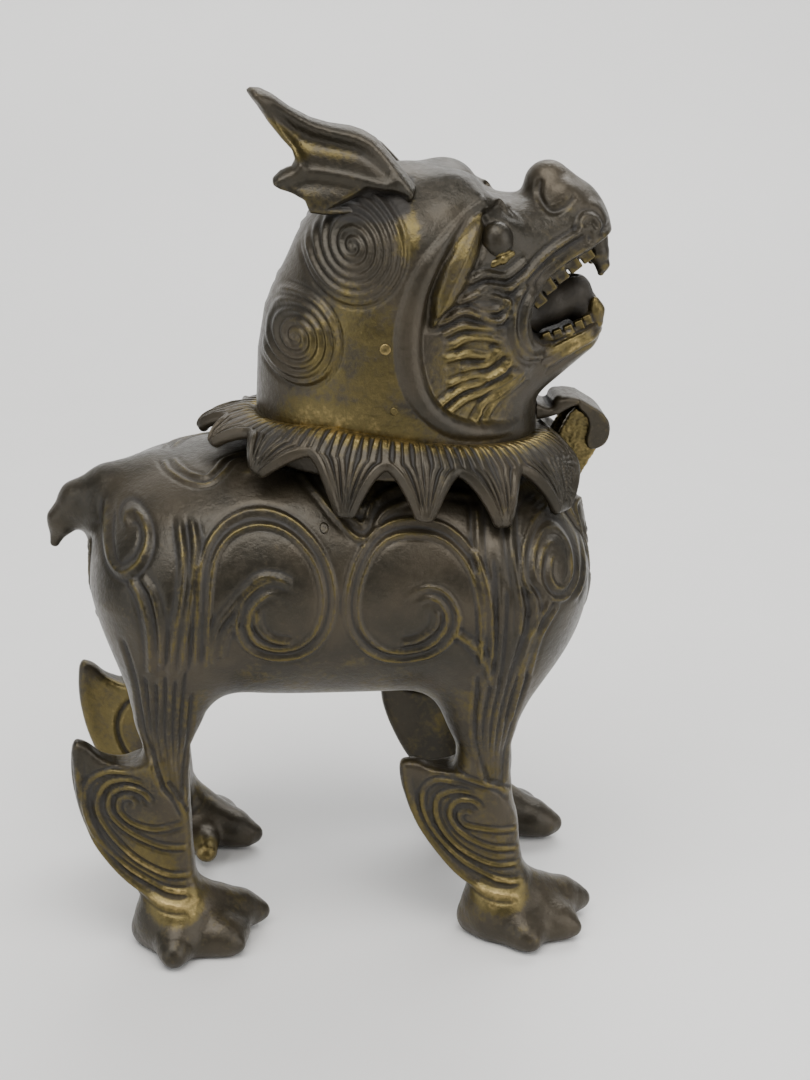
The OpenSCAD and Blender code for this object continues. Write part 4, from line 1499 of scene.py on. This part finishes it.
def build_plugs():
    """Round plugs where core pins held the casting's core."""
    def plug(p, x, z, r, surface):
        return smooth_max(off_axis(p, x, z) - r, np.abs(surface(p) + 0.45) - 0.75, 0.3)

    for name, x, z, r, body, surface, low, high, rub in (
        ("flank_plug", -2.8, 93.6, 0.9, "body", barrel, (-6, -34, 90), (0, -18, 97), -0.5),
        ("neck_plug_upper", 9, 127.5, 1.1, "head", head_outside, (6, -28, 124), (12, -18, 131),
         0.0),
        ("neck_plug_lower", 10.8, 115.5, 0.8, "head", head_outside, (8, -28, 112),
         (14, -18, 119), -0.15),
    ):
        small(pair(name), lambda p: plug(p, x, z, r, surface), low, high, 0.2, body,
              "worn_brass", wear=rub)


build_small()
build_collar()
build_plugs()


# ---------------------------------------------------------------- floor, light and camera

def add_stage():
    floor = Nodes("stage_floor")
    mottle = floor.noise(40, 3.0)
    colour = floor.blend(mottle, (0.80, 0.80, 0.79, 1), (0.83, 0.83, 0.82, 1))
    floor.join(colour, floor.shader.inputs["Base Color"])
    floor.shader.inputs["Roughness"].default_value = 0.42
    size, depth, rise, turn, steps = 1.6, 0.55, 1.1, 0.22, 12
    rows = [(-size, 0.0), (depth - turn, 0.0)]
    for i in range(1, steps + 1):
        a = math.pi / 2 * i / steps
        rows.append((depth - turn + turn * math.sin(a), turn - turn * math.cos(a)))
    rows.append((depth, rise))
    verts = [(x, y, z) for y, z in rows for x in (-size, size)]
    faces = [(2 * i, 2 * i + 1, 2 * i + 3, 2 * i + 2) for i in range(len(rows) - 1)]
    mesh = bpy.data.meshes.new("stage_sweep")
    mesh.from_pydata(verts, [], faces)
    for face in mesh.polygons:
        face.use_smooth = True
    sweep = add_object("stage_sweep", mesh)
    mesh.materials.append(floor.material)


def add_light(name, place, target, size, power, tint):
    data = bpy.data.lights.new(name, "AREA")
    data.shape = "RECTANGLE"
    data.size, data.size_y = size
    data.energy = power
    data.color = tint
    lamp = add_object(name, data)
    lamp.location = place
    aim = Vector(target) - Vector(place)
    lamp.rotation_euler = aim.to_track_quat("-Z", "Y").to_euler()


def add_camera():
    place = np.array([-30.9, -403.5, 232.4]) * MM
    swing, dip, roll = (math.radians(a) for a in (6.657, 20.518, -1.289))
    ahead = np.array([
        math.sin(swing) * math.cos(dip), math.cos(swing) * math.cos(dip), -math.sin(dip)
    ])
    right = np.array([math.cos(swing), -math.sin(swing), 0.0])
    up = np.cross(right, ahead)
    across = right * math.cos(roll) - up * math.sin(roll)
    upward = right * math.sin(roll) + up * math.cos(roll)
    data = bpy.data.cameras.new("camera")
    data.sensor_fit = "VERTICAL"
    data.sensor_height = 36.0
    data.lens = 69.33
    data.clip_start, data.clip_end = 0.02, 20.0
    camera = add_object("camera", data)
    camera.matrix_world = Matrix((
        (across[0], upward[0], -ahead[0], place[0]),
        (across[1], upward[1], -ahead[1], place[1]),
        (across[2], upward[2], -ahead[2], place[2]),
        (0, 0, 0, 1),
    ))
    bpy.context.scene.camera = camera


add_stage()
MIDDLE = (0.0, 0.0, 0.085)
add_light("key_top", (-0.10, -0.35, 0.95), MIDDLE, (0.9, 0.7), 11, (1.0, 0.97, 0.93))
add_light("fill_right", (0.75, -0.55, 0.40), MIDDLE, (0.8, 0.8), 5.0, (1.0, 0.98, 0.96))
add_light("fill_left", (-0.80, -0.50, 0.35), MIDDLE, (0.8, 0.8), 3.2, (0.95, 0.97, 1.0))
add_light("rim_back", (0.20, 0.45, 0.60), MIDDLE, (0.7, 0.3), 3.0, (1.0, 1.0, 1.0))
world = bpy.data.worlds.new("studio")
world.use_nodes = True
world.node_tree.nodes["Background"].inputs["Color"].default_value = (0.93, 0.95, 1.0, 1)
world.node_tree.nodes["Background"].inputs["Strength"].default_value = 0.35
bpy.context.scene.world = world
add_camera()
